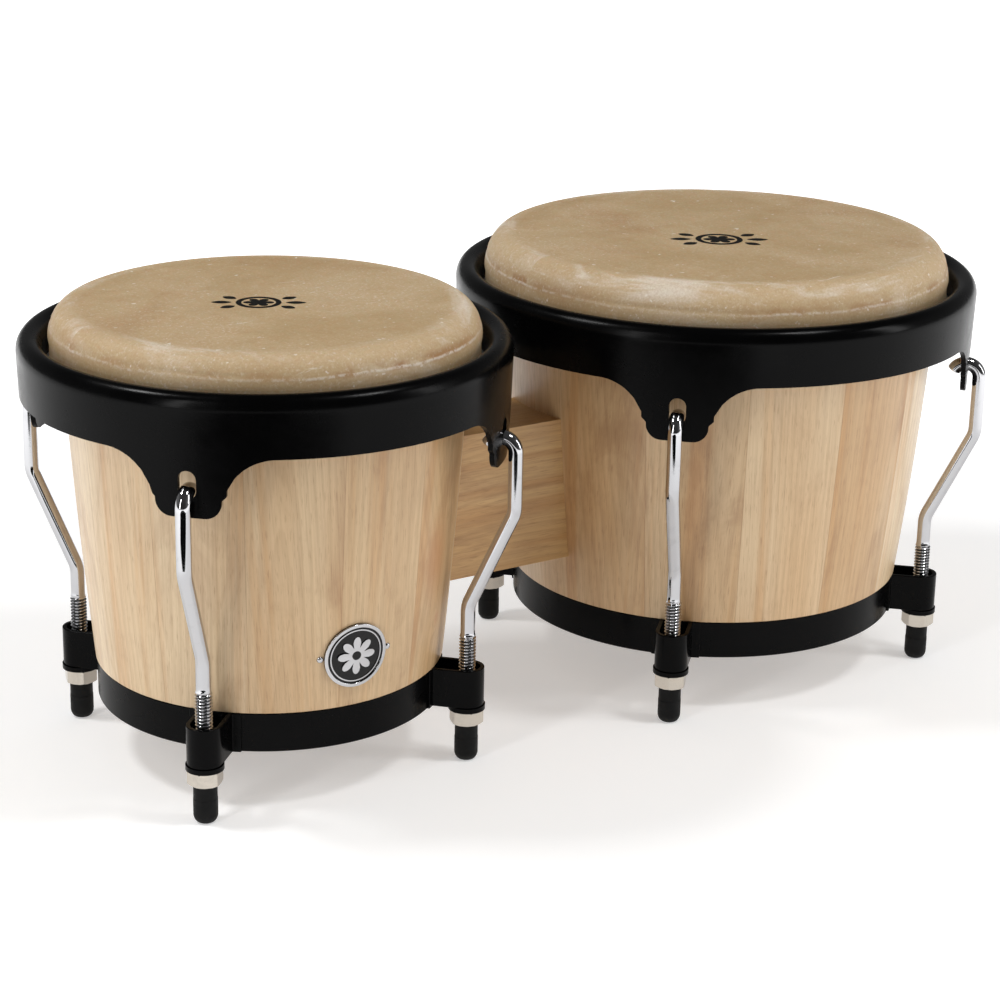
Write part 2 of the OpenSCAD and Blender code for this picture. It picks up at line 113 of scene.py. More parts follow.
# Studio: the way the camera looks, flat on the floor, and the light of the tent around it
VIEW_DIR = (0.546, 0.838)
TENT_FRONT = 0.24
TENT_LEFT = 1.0
TENT_BACK = 0.9
TENT_RIGHT = 1.35
TENT_TOP = 0.30
TENT_GLOSS = 0.22
# How much the floor glows near the set and where it reaches full glow: painted light that lifts its shadows
FLOOR_GLOW = 0.36
FLOOR_NEAR = 0.30
FLOOR_FAR = 0.75
# A dark card on the floor in front, which polished and black metal mirrors
CARD_NEAR, CARD_FAR, CARD_HALF = 0.30, 1.3, 0.28
CARD_MIDDLE = Vector((-0.14, -0.08, 0.002))
CARD_TURN = Matrix(((VIEW_DIR[1], VIEW_DIR[0], 0), (-VIEW_DIR[0], VIEW_DIR[1], 0), (0, 0, 1)))
CARD_CORNERS = (
    (-CARD_HALF, -CARD_NEAR, 0), (-CARD_HALF, -CARD_FAR, 0), (CARD_HALF, -CARD_FAR, 0),
    (CARD_HALF, -CARD_NEAR, 0),
)
# Name, place, width, height and power of each light
LIGHTS = (
    ("key", (-1.5, -0.55, 0.75), 0.14, 1.2, 5.6),
    ("fill", (1.2, -1.1, 0.7), 0.25, 1.0, 5.0),
    ("over_left", (-0.72, 0.32, 1.2), 0.22, 0.22, 6.0),
    ("over_right", (0.35, -0.55, 1.25), 0.22, 0.22, 4.2),
)


class Drum:
    """One drum's sizes, measured on the frame."""

    def __init__(self, name):
        self.name = name
        self.tuning = name + "_tuning"
        low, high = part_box(name + "_rim")
        self.x = (low.x + high.x) / 2
        self.rim_r = (high.x - low.x) / 2
        self.crest_z = high.z
        self.roll_z = high.z - ROLL_H
        self.band_z = high.z - RIM_H
        self.tab_z = low.z
        self.leg_z = self.roll_z - LEG_H
        low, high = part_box(name + "_shell")
        self.shell_z = low.z
        self.shell_top = high.z
        low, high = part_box(name + "_head")
        self.skin_top = high.z
        self.skin_r = (high.x - low.x) / 2
        low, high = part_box(name + "_flesh_hoop")
        self.hoop_z = (low.z + high.z) / 2
        self.hoop_minor = (high.z - low.z) / 2
        self.hoop_r = (high.x - low.x) / 2 - self.hoop_minor
        low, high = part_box(name + "_washer_1")
        centre = (low + high) / 2
        self.rod_r = math.hypot(centre.x - self.x, centre.y)
        self.turn = math.atan2(centre.y, centre.x - self.x)
        low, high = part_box(name + "_bottom_ring")
        self.bracket_z = low.z
        self.bracket_top = high.z
        self.ring_r = self.rod_r - ROD_REACH
        self.ring_z = self.shell_z
        self.low_r = self.ring_r - RING_PROUD
        self.top_r = self.rim_r - RIM_OUT[name]
        self.hook_z = self.tab_z + HOOK_UP
        self.hook_axis_r = self.band_r(self.hook_z + HOOK_R) - RIM_WALL / 2

    def band_r(self, z):
        """Outer radius of the rim's band at height z."""
        return self.rim_r - RIM_SLOPE * (self.roll_z - z)

    def shell_r(self, z):
        """Outer radius of the shell at height z."""
        t = (z - self.shell_z) / (self.shell_top - self.shell_z)
        return self.low_r + (self.top_r - self.low_r) * t + 4 * SWELL[self.name] * t * (1 - t)

    def place(self, lug):
        """Turns a piece from the drum's +X side to a lug, and onto the drum's axis."""
        return Matrix.Translation((self.x, 0, 0)) @ Matrix.Rotation(self.turn + lug * TURN / LUGS, 4, "Z")


# ---------------------------------------------------------------- mesh tools

def arc(cx, cz, rx, rz, start, end, steps):
    """Points on an arc of an ellipse, angles in degrees."""
    angles = np.radians(np.linspace(start, end, steps + 1))
    return [(cx + rx * math.cos(a), cz + rz * math.sin(a)) for a in angles]


def mesh_piece(name, verts, faces, sharp=math.radians(35)):
    """A smooth-shaded mesh object in the scene, with edges above an angle kept sharp."""
    mesh = bpy.data.meshes.new(name)
    mesh.from_pydata([tuple(v) for v in verts], [], faces)
    mesh.validate()
    tidy = bmesh.new()
    tidy.from_mesh(mesh)
    bmesh.ops.recalc_face_normals(tidy, faces=tidy.faces)
    tidy.to_mesh(mesh)
    tidy.free()
    mesh.shade_smooth()
    mesh.set_sharp_from_angle(angle=sharp)
    obj = bpy.data.objects.new(name, mesh)
    bpy.context.scene.collection.objects.link(obj)
    return obj


def lathe(name, profile, x, segments=256, closed=True, shift=None, sharp=math.radians(35)):
    """Turns a profile of (radius, height) points round the axis at x.

    Points on the axis become one vertex."""
    verts, rings = [], []
    for r, z in profile:
        if r < 1e-6:
            rings.append([len(verts)] * segments)
            verts.append((x, 0, z))
            continue
        ring = []
        for k in range(segments):
            a = TURN * k / segments
            dr, dz = shift(r, z, a) if shift else (0, 0)
            ring.append(len(verts))
            verts.append((x + (r + dr) * math.cos(a), (r + dr) * math.sin(a), z + dz))
        rings.append(ring)
    faces = []
    count = len(rings)
    for i in range(count if closed else count - 1):
        low, high = rings[i], rings[(i + 1) % count]
        if low[0] == low[1] and high[0] == high[1]:
            continue
        for k in range(segments):
            m = (k + 1) % segments
            quad = [low[k], low[m], high[m], high[k]]
            faces.append(list(dict.fromkeys(quad)))
    return mesh_piece(name, verts, faces, sharp)


def grid_faces(rows, columns, wrap):
    """Quads of a grid of vertices laid out row by row; wrap joins the last column to the first."""
    faces = []
    for i in range(rows - 1):
        for k in range(columns if wrap else columns - 1):
            m = (k + 1) % columns
            faces.append([i * columns + k, i * columns + m, (i + 1) * columns + m, (i + 1) * columns + k])
    return faces


def modifier(obj, kind, name, **values):
    """Adds a modifier with its settings."""
    made = obj.modifiers.new(name, kind)
    for key, value in values.items():
        setattr(made, key, value)
    return made


def soften(obj, width, segments=2, angle=40):
    """Rounds an object's hard edges a little, as real stock has them."""
    modifier(obj, "BEVEL", "edge", width=width, segments=segments, limit_method="ANGLE",
             angle_limit=math.radians(angle), harden_normals=True)


def apply_modifiers(obj):
    """Turns an object's modifiers into its mesh."""
    depsgraph = bpy.context.evaluated_depsgraph_get()
    mesh = bpy.data.meshes.new_from_object(obj.evaluated_get(depsgraph))
    obj.modifiers.clear()
    obj.data = mesh


def uv_map(obj, place, lap=0.0):
    """Gives every face corner a place on a flat sheet: place(vertex) returns (u, v) in metres.

    U starts again after a lap; a face across that seam gets its low corners moved up by one lap."""
    mesh = obj.data
    layer = mesh.uv_layers.new(name="UVMap")
    for face in mesh.polygons:
        spots = [place(mesh.vertices[mesh.loops[i].vertex_index].co) for i in face.loop_indices]
        across_seam = lap and max(s[0] for s in spots) - min(s[0] for s in spots) > lap / 2
        for i, (u, v) in zip(face.loop_indices, spots):
            layer.data[i].uv = (u + lap if across_seam and u < 0 else u, v)


# ---------------------------------------------------------------- materials

class Nodes:
    """A small helper that builds a node material."""

    def __init__(self, name):
        self.material = bpy.data.materials.new(name)
        self.material.use_nodes = True
        self.tree = self.material.node_tree
        self.shader = self.tree.nodes["Principled BSDF"]

    def add(self, kind, **settings):
        node = self.tree.nodes.new("ShaderNode" + kind)
        for key, value in settings.items():
            setattr(node, key, value)
        return node

    def link(self, source, target):
        self.tree.links.new(source, target)

    def feed(self, target, value):
        """Links an output to an input, or sets the input's own value."""
        if isinstance(value, bpy.types.NodeSocket):
            self.link(value, target)
        else:
            target.default_value = value

    def math(self, operation, a, b=None, c=None, clamp=False):
        node = self.add("Math", operation=operation, use_clamp=clamp)
        for socket, value in zip(node.inputs, (a, b, c)):
            if value is not None:
                self.feed(socket, value)
        return node.outputs[0]

    def ranged(self, value, low, high, to_low=0.0, to_high=1.0, smooth=True):
        """Maps low..high to to_low..to_high, clamped."""
        node = self.add("MapRange", interpolation_type="SMOOTHSTEP" if smooth else "LINEAR")
        for key, number in (("Value", value), ("From Min", low), ("From Max", high), ("To Min", to_low),
                            ("To Max", to_high)):
            self.feed(node.inputs[key], number)
        return node.outputs[0]

    def mix(self, factor, a, b, blend="MIX"):
        node = self.add("Mix", data_type="RGBA", blend_type=blend)
        self.feed(node.inputs[0], factor)
        self.feed(node.inputs[6], a)
        self.feed(node.inputs[7], b)
        return node.outputs[2]

    def place(self, kind="Object"):
        return self.add("TexCoord").outputs[kind]

    def parts(self, vector):
        node = self.add("SeparateXYZ")
        self.link(vector, node.inputs[0])
        return node.outputs

    def join(self, x, y, z):
        node = self.add("CombineXYZ")
        for socket, value in zip(node.inputs, (x, y, z)):
            self.feed(socket, value)
        return node.outputs[0]

    def stretch(self, vector, scale):
        node = self.add("Mapping")
        self.link(vector, node.inputs["Vector"])
        node.inputs["Scale"].default_value = scale
        return node.outputs[0]

    def noise(self, vector, scale, detail=4.0, roughness=0.5, distortion=0.0):
        node = self.add("TexNoise")
        self.link(vector, node.inputs["Vector"])
        node.inputs["Scale"].default_value = scale
        node.inputs["Detail"].default_value = detail
        node.inputs["Roughness"].default_value = roughness
        node.inputs["Distortion"].default_value = distortion
        return node.outputs["Fac"]

    def random(self, value):
        node = self.add("TexWhiteNoise", noise_dimensions="1D")
        self.feed(node.inputs["W"], value)
        return node.outputs["Value"]

    def bump(self, height, distance, strength=1.0):
        node = self.add("Bump")
        node.inputs["Distance"].default_value = distance
        node.inputs["Strength"].default_value = strength
        self.link(height, node.inputs["Height"])
        return node.outputs[0]

    def set(self, **values):
        """Sets or links the shader's inputs; an underscore in a name stands for a space."""
        for key, value in values.items():
            self.feed(self.shader.inputs[key.replace("_", " ")], value)
        return self.material


def srgb(r, g, b):
    """A colour as a screen shows it, 0 to 255, as linear light."""
    def linear(c):
        c /= 255
        return c / 12.92 if c <= 0.04045 else ((c + 0.055) / 1.055) ** 2.4
    return (linear(r), linear(g), linear(b), 1.0)


def grown(n, u, v, shift, ring_w):
    """Growth rings as darkness from 0 to 1, with the rings' slow wander: U runs across them and V along."""
    wander = n.noise(n.join(n.math("MULTIPLY", u, 22.0), n.math("MULTIPLY", v, 3.0), shift), 1.0, 3.0, 0.55,
                     0.4)
    ragged = n.noise(n.join(n.math("MULTIPLY", u, 260.0), n.math("MULTIPLY", v, 14.0), shift), 1.0, 4.0, 0.6)
    rings = n.math("ADD", n.math("DIVIDE", u, ring_w), n.math("MULTIPLY", wander, 5.0))
    rings = n.math("FRACT", n.math("ADD", rings, n.math("MULTIPLY", ragged, 0.7)))
    late = n.math("MULTIPLY", n.ranged(rings, 0.30, 0.88), n.ranged(rings, 0.90, 1.0, 1.0, 0.0))
    return late, wander, ragged


def wood_colour(n, u, v, shift, late, wander, ragged, tones):
    """Colour and fine relief of open-grained hardwood, from its rings."""
    pale, mid, dark, warm = tones
    fine = n.noise(n.join(n.math("MULTIPLY", u, 1500.0), n.math("MULTIPLY", v, 22.0), shift), 1.0, 4.0, 0.65)
    hair = n.noise(n.join(n.math("MULTIPLY", u, 3600.0), n.math("MULTIPLY", v, 60.0), shift), 1.0, 2.0, 0.6)
    dashes = n.noise(n.join(n.math("MULTIPLY", u, 2600.0), n.math("MULTIPLY", v, 130.0), shift), 1.0, 2.0,
                     0.5)
    pores = n.ranged(dashes, 0.58, 0.70)
    cloud = n.noise(n.join(n.math("MULTIPLY", u, 40.0), n.math("MULTIPLY", v, 14.0), shift), 1.0, 5.0, 0.62,
                    0.6)
    strips = n.noise(n.join(n.math("MULTIPLY", u, 75.0), n.math("MULTIPLY", v, 2.2), shift), 1.0, 4.0, 0.6)
    base = n.mix(n.ranged(wander, 0.30, 0.70), pale, mid)
    base = n.mix(n.math("MULTIPLY", n.ranged(strips, 0.48, 0.66), 0.55), base, warm)
    base = n.mix(n.math("MULTIPLY", late, 0.13), base, dark)
    base = n.mix(n.math("MULTIPLY", n.ranged(ragged, 0.45, 0.75), 0.14), base, dark)
    base = n.mix(n.math("MULTIPLY", n.ranged(fine, 0.40, 0.80), 0.26), base, dark)
    base = n.mix(n.math("MULTIPLY", n.ranged(cloud, 0.48, 0.72), 0.36), base, dark)
    base = n.mix(n.math("MULTIPLY", pores, 0.34), base, dark)
    height = n.math("SUBTRACT", n.math("MULTIPLY", hair, 0.35), pores)
    return base, height, fine


def stave_wood(name, tones, stave_w, seed, knots=(), coated=True):
    """Hardwood staves. U of the UV map runs round the shell and V up it; knots are (u, v, size)."""
    n = Nodes(name)
    uv = n.parts(n.place("UV"))
    across = n.math("ADD", n.math("DIVIDE", uv[0], stave_w), seed)
    stave = n.math("FLOOR", across)
    local = n.math("SUBTRACT", n.math("FRACT", across), 0.5)
    tone = n.random(stave)
    shift = n.math("MULTIPLY", n.random(n.math("ADD", stave, 17.3)), 9.0)
    heart = n.math("MULTIPLY", n.math("SUBTRACT", n.random(n.math("ADD", stave, 5.1)), 0.5), 1.5)
    slant = n.math("MULTIPLY", n.math("SUBTRACT", n.random(n.math("ADD", stave, 9.7)), 0.5), 0.14)
    off = n.math("MULTIPLY", n.math("SUBTRACT", local, heart), stave_w)
    arch = n.math("SQRT", n.math("ADD", n.math("POWER", off, 2.0), (5 * MM) ** 2))
    u = n.math("ADD", arch, n.math("MULTIPLY", uv[1], slant))
    stain = None
    for at_u, at_v, size in knots:
        du = n.math("DIVIDE", n.math("SUBTRACT", uv[0], at_u), size)
        dv = n.math("DIVIDE", n.math("SUBTRACT", uv[1], at_v), size * 1.9)
        far = n.math("SQRT", n.math("ADD", n.math("POWER", du, 2.0), n.math("POWER", dv, 2.0)))
        near = n.ranged(far, 0.0, 1.0, 1.0, 0.0)
        u = n.math("ADD", u, n.math("MULTIPLY", n.math("POWER", near, 1.5), 9 * MM))
        core = n.math("MULTIPLY", n.ranged(far, 0.05, 0.42, 1.0, 0.0), 0.55)
        stain = core if stain is None else n.math("MAXIMUM", stain, core)
    late, wander, ragged = grown(n, u, uv[1], shift, 3.1 * MM)
    plain = n.math("ADD", off, n.math("MULTIPLY", uv[1], slant))
    base, height, fine = wood_colour(n, plain, uv[1], shift, late, wander, ragged, tones)
    base = n.mix(1.0, base, n.mix(tone, (0.84, 0.76, 0.66, 1), (1.04, 1.04, 1.05, 1)), "MULTIPLY")
    if stain is not None:
        base = n.mix(stain, base, srgb(186, 128, 84))
    line = n.ranged(n.math("ABSOLUTE", local), 0.5 - 0.25 * MM / stave_w, 0.5 - 0.05 * MM / stave_w)
    base = n.mix(n.math("MULTIPLY", line, 0.4), base, tones[2])
    height = n.math("SUBTRACT", height, line)
    return n.set(Base_Color=base, Roughness=n.ranged(fine, 0.2, 0.8, 0.36, 0.50),
                 Normal=n.bump(height, 0.05 * MM, 0.5),
                 Coat_Weight=0.35 if coated else 0.0, Coat_Roughness=0.26)


def solid_wood(name, tones, heart, coated=True):
    """A sawn block with its grain along X: the rings lie round a heart line at (y, z)."""
    n = Nodes(name)
    x, y, z = n.parts(n.place())[:3]
    dy = n.math("SUBTRACT", y, heart[0])
    dz = n.math("SUBTRACT", z, heart[1])
    arch = n.math("SQRT", n.math("ADD", n.math("POWER", dy, 2.0), n.math("POWER", dz, 2.0)))
    u = n.math("ADD", arch, n.math("MULTIPLY", n.math("POWER", n.math("ADD", x, 8 * MM), 2.0), 2.6))
    late, wander, ragged = grown(n, u, x, 3.3, 3.4 * MM)
    plain = n.math("ADD", z, n.math("MULTIPLY", y, 0.6))
    base, height, fine = wood_colour(n, plain, x, 3.3, late, wander, ragged, tones)
    return n.set(Base_Color=base, Roughness=n.ranged(fine, 0.2, 0.8, 0.36, 0.50),
                 Normal=n.bump(height, 0.05 * MM, 0.5),
                 Coat_Weight=0.35 if coated else 0.0, Coat_Roughness=0.26)


def rawhide(name, tones, crease_v, chalk_u, seed):
    """Tanned rawhide.

    U of the UV map is the way round; V is 0 where the flat top ends and grows down the side."""
    centre, side, brown, chalk = tones
    n = Nodes(name)
    around, out = n.parts(n.place("UV"))[:2]
    spot = n.add("Mapping")
    n.link(n.place(), spot.inputs["Vector"])
    spot.inputs["Location"].default_value = (seed, seed * 0.7, 0)
    spot = spot.outputs[0]
    cloud = n.noise(spot, 17.0, 6.0, 0.58, 0.4)
    mottle = n.noise(spot, 75.0, 6.0, 0.68, 0.2)
    grain = n.noise(spot, 1100.0, 4.0, 0.6)
    specks = n.ranged(n.noise(spot, 330.0, 2.0, 0.5), 0.70, 0.76)
    dust = n.ranged(n.noise(spot, 700.0, 4.0, 0.7), 0.52, 0.70)
    strokes = n.ranged(n.noise(n.stretch(spot, (0.25, 1.0, 1.0)), 210.0, 3.0, 0.6, 1.2), 0.68, 0.76)
    base = n.mix(n.ranged(cloud, 0.34, 0.66, 0.0, 0.55), centre, side)
    base = n.mix(n.math("MULTIPLY", n.ranged(n.noise(spot, 11.0, 4.0, 0.6, 0.5), 0.48, 0.72), 0.45), base,
                 brown)
    base = n.mix(n.math("MULTIPLY", n.ranged(mottle, 0.46, 0.76), 0.20), base, brown)
    # The stretched shoulder is paler and chalky, in clouds
    shoulder = n.math("MULTIPLY", n.ranged(out, -5 * MM, 1.5 * MM),
                      n.ranged(out, crease_v - 7 * MM, crease_v - 2 * MM, 1.0, 0.3))
    base = n.mix(n.math("MULTIPLY", shoulder, 0.55), base, side)
    patches = n.noise(n.join(n.math("MULTIPLY", around, 17.0), n.math("MULTIPLY", out, 50.0), seed), 1.0, 6.0,
                      0.66, 0.6)
    front = n.ranged(n.math("ABSOLUTE", n.math("SUBTRACT", around, chalk_u)), 12 * MM, 48 * MM, 0.09, 0.0)
    chalky = n.math("MULTIPLY", shoulder, n.ranged(n.math("ADD", patches, front), 0.48, 0.66))
    base = n.mix(n.math("MULTIPLY", chalky, 0.64), base, chalk)
    # Below it a brown, rubbed band lies over a scuffed crease, more on one side than on the other
    wander = n.noise(n.join(n.math("MULTIPLY", around, 40.0), 0.0, seed), 1.0, 5.0, 0.6)
    low = n.math("ADD", out, n.math("MULTIPLY", wander, 2.4 * MM))
    crease = crease_v + 1.2 * MM
    worn = n.ranged(n.noise(n.join(n.math("MULTIPLY", around, 6.0), 0.0, seed), 1.0, 2.0), 0.40, 0.60)
    patchy = n.ranged(n.noise(n.join(n.math("MULTIPLY", around, 90.0), n.math("MULTIPLY", out, 160.0), seed),
                              1.0, 4.0), 0.38, 0.60)
    rub = n.math("MULTIPLY", n.ranged(low, crease - 3.5 * MM, crease - 0.8 * MM),
                 n.ranged(low, crease - 0.4 * MM, crease + 1.5 * MM, 1.0, 0.15))
    base = n.mix(n.math("MULTIPLY", n.math("MULTIPLY", rub, worn), n.math("MULTIPLY", patchy, 0.85)), base,
                 brown)
    hairs = n.noise(n.join(n.math("MULTIPLY", around, 420.0), n.math("MULTIPLY", out, 420.0), seed), 1.0, 4.0,
                    0.7)
    scuff = n.math("MULTIPLY", n.ranged(low, crease - 0.7 * MM, crease),
                   n.ranged(low, crease + 0.1 * MM, crease + 0.9 * MM, 1.0, 0.0))
    scuff = n.math("MULTIPLY", n.math("MULTIPLY", scuff, n.ranged(hairs, 0.36, 0.56)),
                   n.ranged(worn, 0.0, 1.0, 0.30, 1.0))
    base = n.mix(n.math("MULTIPLY", scuff, 0.62), base, chalk)
    base = n.mix(n.math("MULTIPLY", specks, 0.75), base, chalk)
    base = n.mix(n.math("MULTIPLY", strokes, 0.55), base, chalk)
    base = n.mix(n.math("MULTIPLY", dust, n.ranged(cloud, 0.4, 0.7, 0.22, 0.55)), base, chalk)
    base = n.mix(n.math("MULTIPLY", n.ranged(grain, 0.35, 0.7), 0.24), base, brown)
    height = n.math("ADD", n.math("MULTIPLY", grain, 0.6),
                    n.math("ADD", n.math("MULTIPLY", mottle, 0.9), n.math("MULTIPLY", scuff, 1.2)))
    n.shader.subsurface_method = "RANDOM_WALK"
    return n.set(Base_Color=base, Roughness=n.ranged(mottle, 0.3, 0.7, 0.48, 0.64), Subsurface_Weight=0.10,
                 Subsurface_Scale=0.0015, Specular_IOR_Level=0.3, Normal=n.bump(height, 0.10 * MM, 0.55))


def enamel(name, colour, roughness, gloss):
    """Satin powder coat with a fine orange peel, and dust and rubbing that change its gloss."""
    n = Nodes(name)
    spot = n.place()
    peel = n.noise(spot, 1400.0, 2.0, 0.5)
    cloud = n.noise(spot, 38.0, 5.0, 0.6)
    dust = n.ranged(n.noise(spot, 2400.0, 2.0, 0.5), 0.70, 0.78)
    rough = n.math("ADD", n.ranged(cloud, 0.3, 0.7, roughness - 0.06, roughness + 0.06),
                   n.math("MULTIPLY", dust, 0.15))
    base = n.mix(n.math("MULTIPLY", dust, 0.2), colour, (0.03, 0.03, 0.03, 1))
    return n.set(Base_Color=base, Roughness=rough, Specular_IOR_Level=gloss,
                 Normal=n.bump(peel, 0.03 * MM, 0.4))


def plated(name, colour, low, high, brush=0.0):
    """Plated metal: polished when brush is 0, with faint wiping marks, or finely turned."""
    n = Nodes(name)
    spot = n.place()
    smear = n.noise(spot, 120.0, 5.0, 0.6, 0.5)
    fine = n.noise(n.stretch(spot, (1.0, 1.0, 6.0)), 1800.0, 2.0)
    rough = n.ranged(n.math("ADD", smear, n.math("MULTIPLY", fine, 0.3)), 0.4, 0.95, low, high)
    tint = n.mix(n.ranged(smear, 0.5, 0.8), colour, tuple(c * 0.86 for c in colour[:3]) + (1,))
    return n.set(Base_Color=tint, Metallic=1.0, Roughness=rough, Normal=n.bump(fine, 0.01 * MM, 0.15 + brush))


def rubber(name):
    """Moulded black rubber with a dusty bloom and scuffs towards the tip."""
    n = Nodes(name)
    spot = n.place()
    height = n.parts(spot)[2]
    bloom = n.noise(spot, 260.0, 5.0, 0.65)
    grain = n.noise(spot, 3000.0, 2.0)
    scuff = n.math("MULTIPLY", n.ranged(height, 0.5 * MM, 4 * MM, 1.0, 0.0), n.ranged(bloom, 0.45, 0.65))
    base = n.mix(n.math("MULTIPLY", n.ranged(bloom, 0.5, 0.8), 0.3), (0.003, 0.003, 0.003, 1),
                 (0.012, 0.012, 0.011, 1))
    base = n.mix(n.math("MULTIPLY", scuff, 0.4), base, (0.05, 0.048, 0.045, 1))
    return n.set(Base_Color=base, Roughness=n.ranged(bloom, 0.3, 0.7, 0.5, 0.68), Specular_IOR_Level=0.18,
                 Normal=n.bump(grain, 0.03 * MM, 0.5))


def ink(name):
    """Black screen print, a little worn, that takes up the hide's grain."""
    n = Nodes(name)
    spot = n.place()
    wear = n.ranged(n.noise(spot, 1300.0, 4.0, 0.6), 0.60, 0.72)
    base = n.mix(n.math("MULTIPLY", wear, 0.6), (0.004, 0.0038, 0.0035, 1), srgb(110, 92, 70))
    return n.set(Base_Color=base, Roughness=0.55, Specular_IOR_Level=0.15,
                 Normal=n.bump(n.noise(spot, 900.0, 5.0), 0.05 * MM, 0.5))


SHELL_TONES = (srgb(230, 208, 172), srgb(218, 185, 141), srgb(146, 98, 56), srgb(208, 158, 100))
INSIDE_TONES = (srgb(206, 184, 150), srgb(190, 158, 118), srgb(140, 100, 60), srgb(188, 146, 98))
BLOCK_TONES = (srgb(206, 166, 110), srgb(190, 146, 86), srgb(122, 76, 34), srgb(178, 126, 64))
HIDE_TONES = (srgb(178, 152, 112), srgb(200, 177, 142), srgb(156, 112, 68), srgb(230, 222, 210))
MACHO_KNOTS = ((-1.02 * 78.5 * MM, 95 * MM, 34 * MM), (-0.93 * 78.5 * MM, 66 * MM, 7 * MM))
looks = {
    "black": enamel("black_enamel", (0.0010, 0.0010, 0.0011, 1), 0.24, 0.075),
    "chrome": plated("rod_chrome", (0.56, 0.56, 0.575, 1), 0.03, 0.09),
    "nickel": plated("nickel_plate", (0.62, 0.57, 0.50, 1), 0.12, 0.26, 0.3),
    # Dark metal for the thread's grooves: painted shade
    "groove_shade": plated("thread_groove_painted_shade", (0.10, 0.10, 0.10, 1), 0.35, 0.5),
    "zinc": plated("zinc_plate", (0.62, 0.62, 0.63, 1), 0.25, 0.42, 0.3),
    "rubber": rubber("cap_rubber"),
    "ink": ink("head_ink"),
    "block": solid_wood("block_wood", BLOCK_TONES, (6 * MM, 30 * MM)),
    "badge": enamel("badge_enamel", (0.004, 0.004, 0.0045, 1), 0.2, 0.3),
    "inside": stave_wood("inside_wood", INSIDE_TONES, 41 * MM, 8.1, coated=False),
}


def dress(obj, look):
    """Gives an object one material."""
    obj.data.materials.clear()
    obj.data.materials.append(looks[look] if isinstance(look, str) else look)


# ---------------------------------------------------------------- shells

def shell_profile(drum):
    """Closed outline of a shell's wall: seat for the ring, swelling side, rounded bearing edge, inside."""
    seat_r = drum.ring_r - RING_T
    seat_top = drum.ring_z + RING_H
    edge_r = EDGE_R[drum.name]
    side_top = drum.shell_top - edge_r
    lip = 0.4 * MM
    outer = [(drum.shell_r(z), z) for z in np.linspace(seat_top + lip, side_top, 40)]
    edge = arc(drum.shell_r(side_top) - edge_r, side_top, edge_r, edge_r, 4, 90, 12)

    def inner_r(z):
        t = (z - drum.shell_z) / (drum.shell_top - drum.shell_z)
        return drum.shell_r(z) - SHELL_WALL - edge_r * t * 0.25
    inner = [(inner_r(z), z) for z in np.linspace(drum.shell_top - lip, drum.shell_z + lip, 24)]
    return (
        [(seat_r - lip, drum.shell_z), (seat_r, drum.shell_z + lip), (seat_r, seat_top),
         (drum.shell_r(seat_top) - lip, seat_top)]
        + outer + edge
        + [(inner_r(drum.shell_top) + lip, drum.shell_top)] + inner
        + [(inner_r(drum.shell_z) + lip, drum.shell_z)]
    )


def make_shell(drum, material, inside):
    """A turned shell, staves outside and bare wood inside, without the tie bolts' holes and seats."""
    obj = lathe(drum.name + "_staves", shell_profile(drum), drum.x, 320)
    mid_r = drum.shell_r((drum.shell_z + drum.shell_top) / 2)

    def place(co):
        return math.atan2(co.y, co.x - drum.x) * mid_r, co.z
    uv_map(obj, place, TURN * mid_r)
    obj.data.materials.append(material)
    obj.data.materials.append(inside)
    for face in obj.data.polygons:
        centre = face.center
        out = Vector((centre.x - drum.x, centre.y, 0)).normalized()
        face.material_index = 1 if face.normal.dot(out) < -0.5 else 0
    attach(obj, ROOT)
    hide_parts(drum.name + "_shell")
    return obj


# ---------------------------------------------------------------- heads

def head_profile(drum):
    """Closed outline of the skin: flat top, shoulder, crease, in under the rim and round the flesh hoop."""
    flat_r = drum.top_r - EDGE_R[drum.name] + SKIN_T / 2
    wide_z = drum.crest_z - SKIN_T
    hoop_wrap = drum.hoop_minor + 1.0 * MM
    outer = [(r, drum.skin_top) for r in np.linspace(0, flat_r * 0.99, 24)]
    outer += arc(flat_r, wide_z, drum.skin_r - flat_r, drum.skin_top - wide_z, 90, 0, 28)
    lap_in = drum.hoop_r - drum.hoop_minor - 0.05 * MM
    outer += [(drum.skin_r - 0.5 * SKIRT_IN, wide_z - 3 * MM), (lap_in + 0.3 * MM, drum.hoop_z + 5.0 * MM)]
    wrap_in = arc(drum.hoop_r, drum.hoop_z, drum.hoop_minor + 0.03 * MM, drum.hoop_minor + 0.03 * MM, 172,
                  355, 16)
    wrap_out = arc(drum.hoop_r, drum.hoop_z, hoop_wrap, hoop_wrap, -5, -188, 16)
    inner = [(lap_in - 0.9 * MM, drum.hoop_z + 5.0 * MM),
             (drum.skin_r - 0.5 * SKIRT_IN - SKIN_T, wide_z - 3 * MM)]
    inner += arc(flat_r, wide_z, drum.skin_r - SKIN_T - flat_r, drum.skin_top - SKIN_T - wide_z, 0, 90, 20)
    inner += [(r, drum.skin_top - SKIN_T) for r in np.linspace(flat_r * 0.98, 0, 12)]
    return outer + wrap_in + wrap_out + inner, flat_r


def side_v(drum, r, z):
    """Distance down the skin's side from the end of its flat top, straight across the shoulder."""
    flat_r = drum.top_r - EDGE_R[drum.name] + SKIN_T / 2
    return r - flat_r if r < flat_r else math.hypot(r - flat_r, drum.skin_top - z)


def crease_place(drum):
    """Where the skin's scuffed crease lies, as a distance down its side."""
    return side_v(drum, drum.skin_r, drum.crest_z + CREASE_UP)


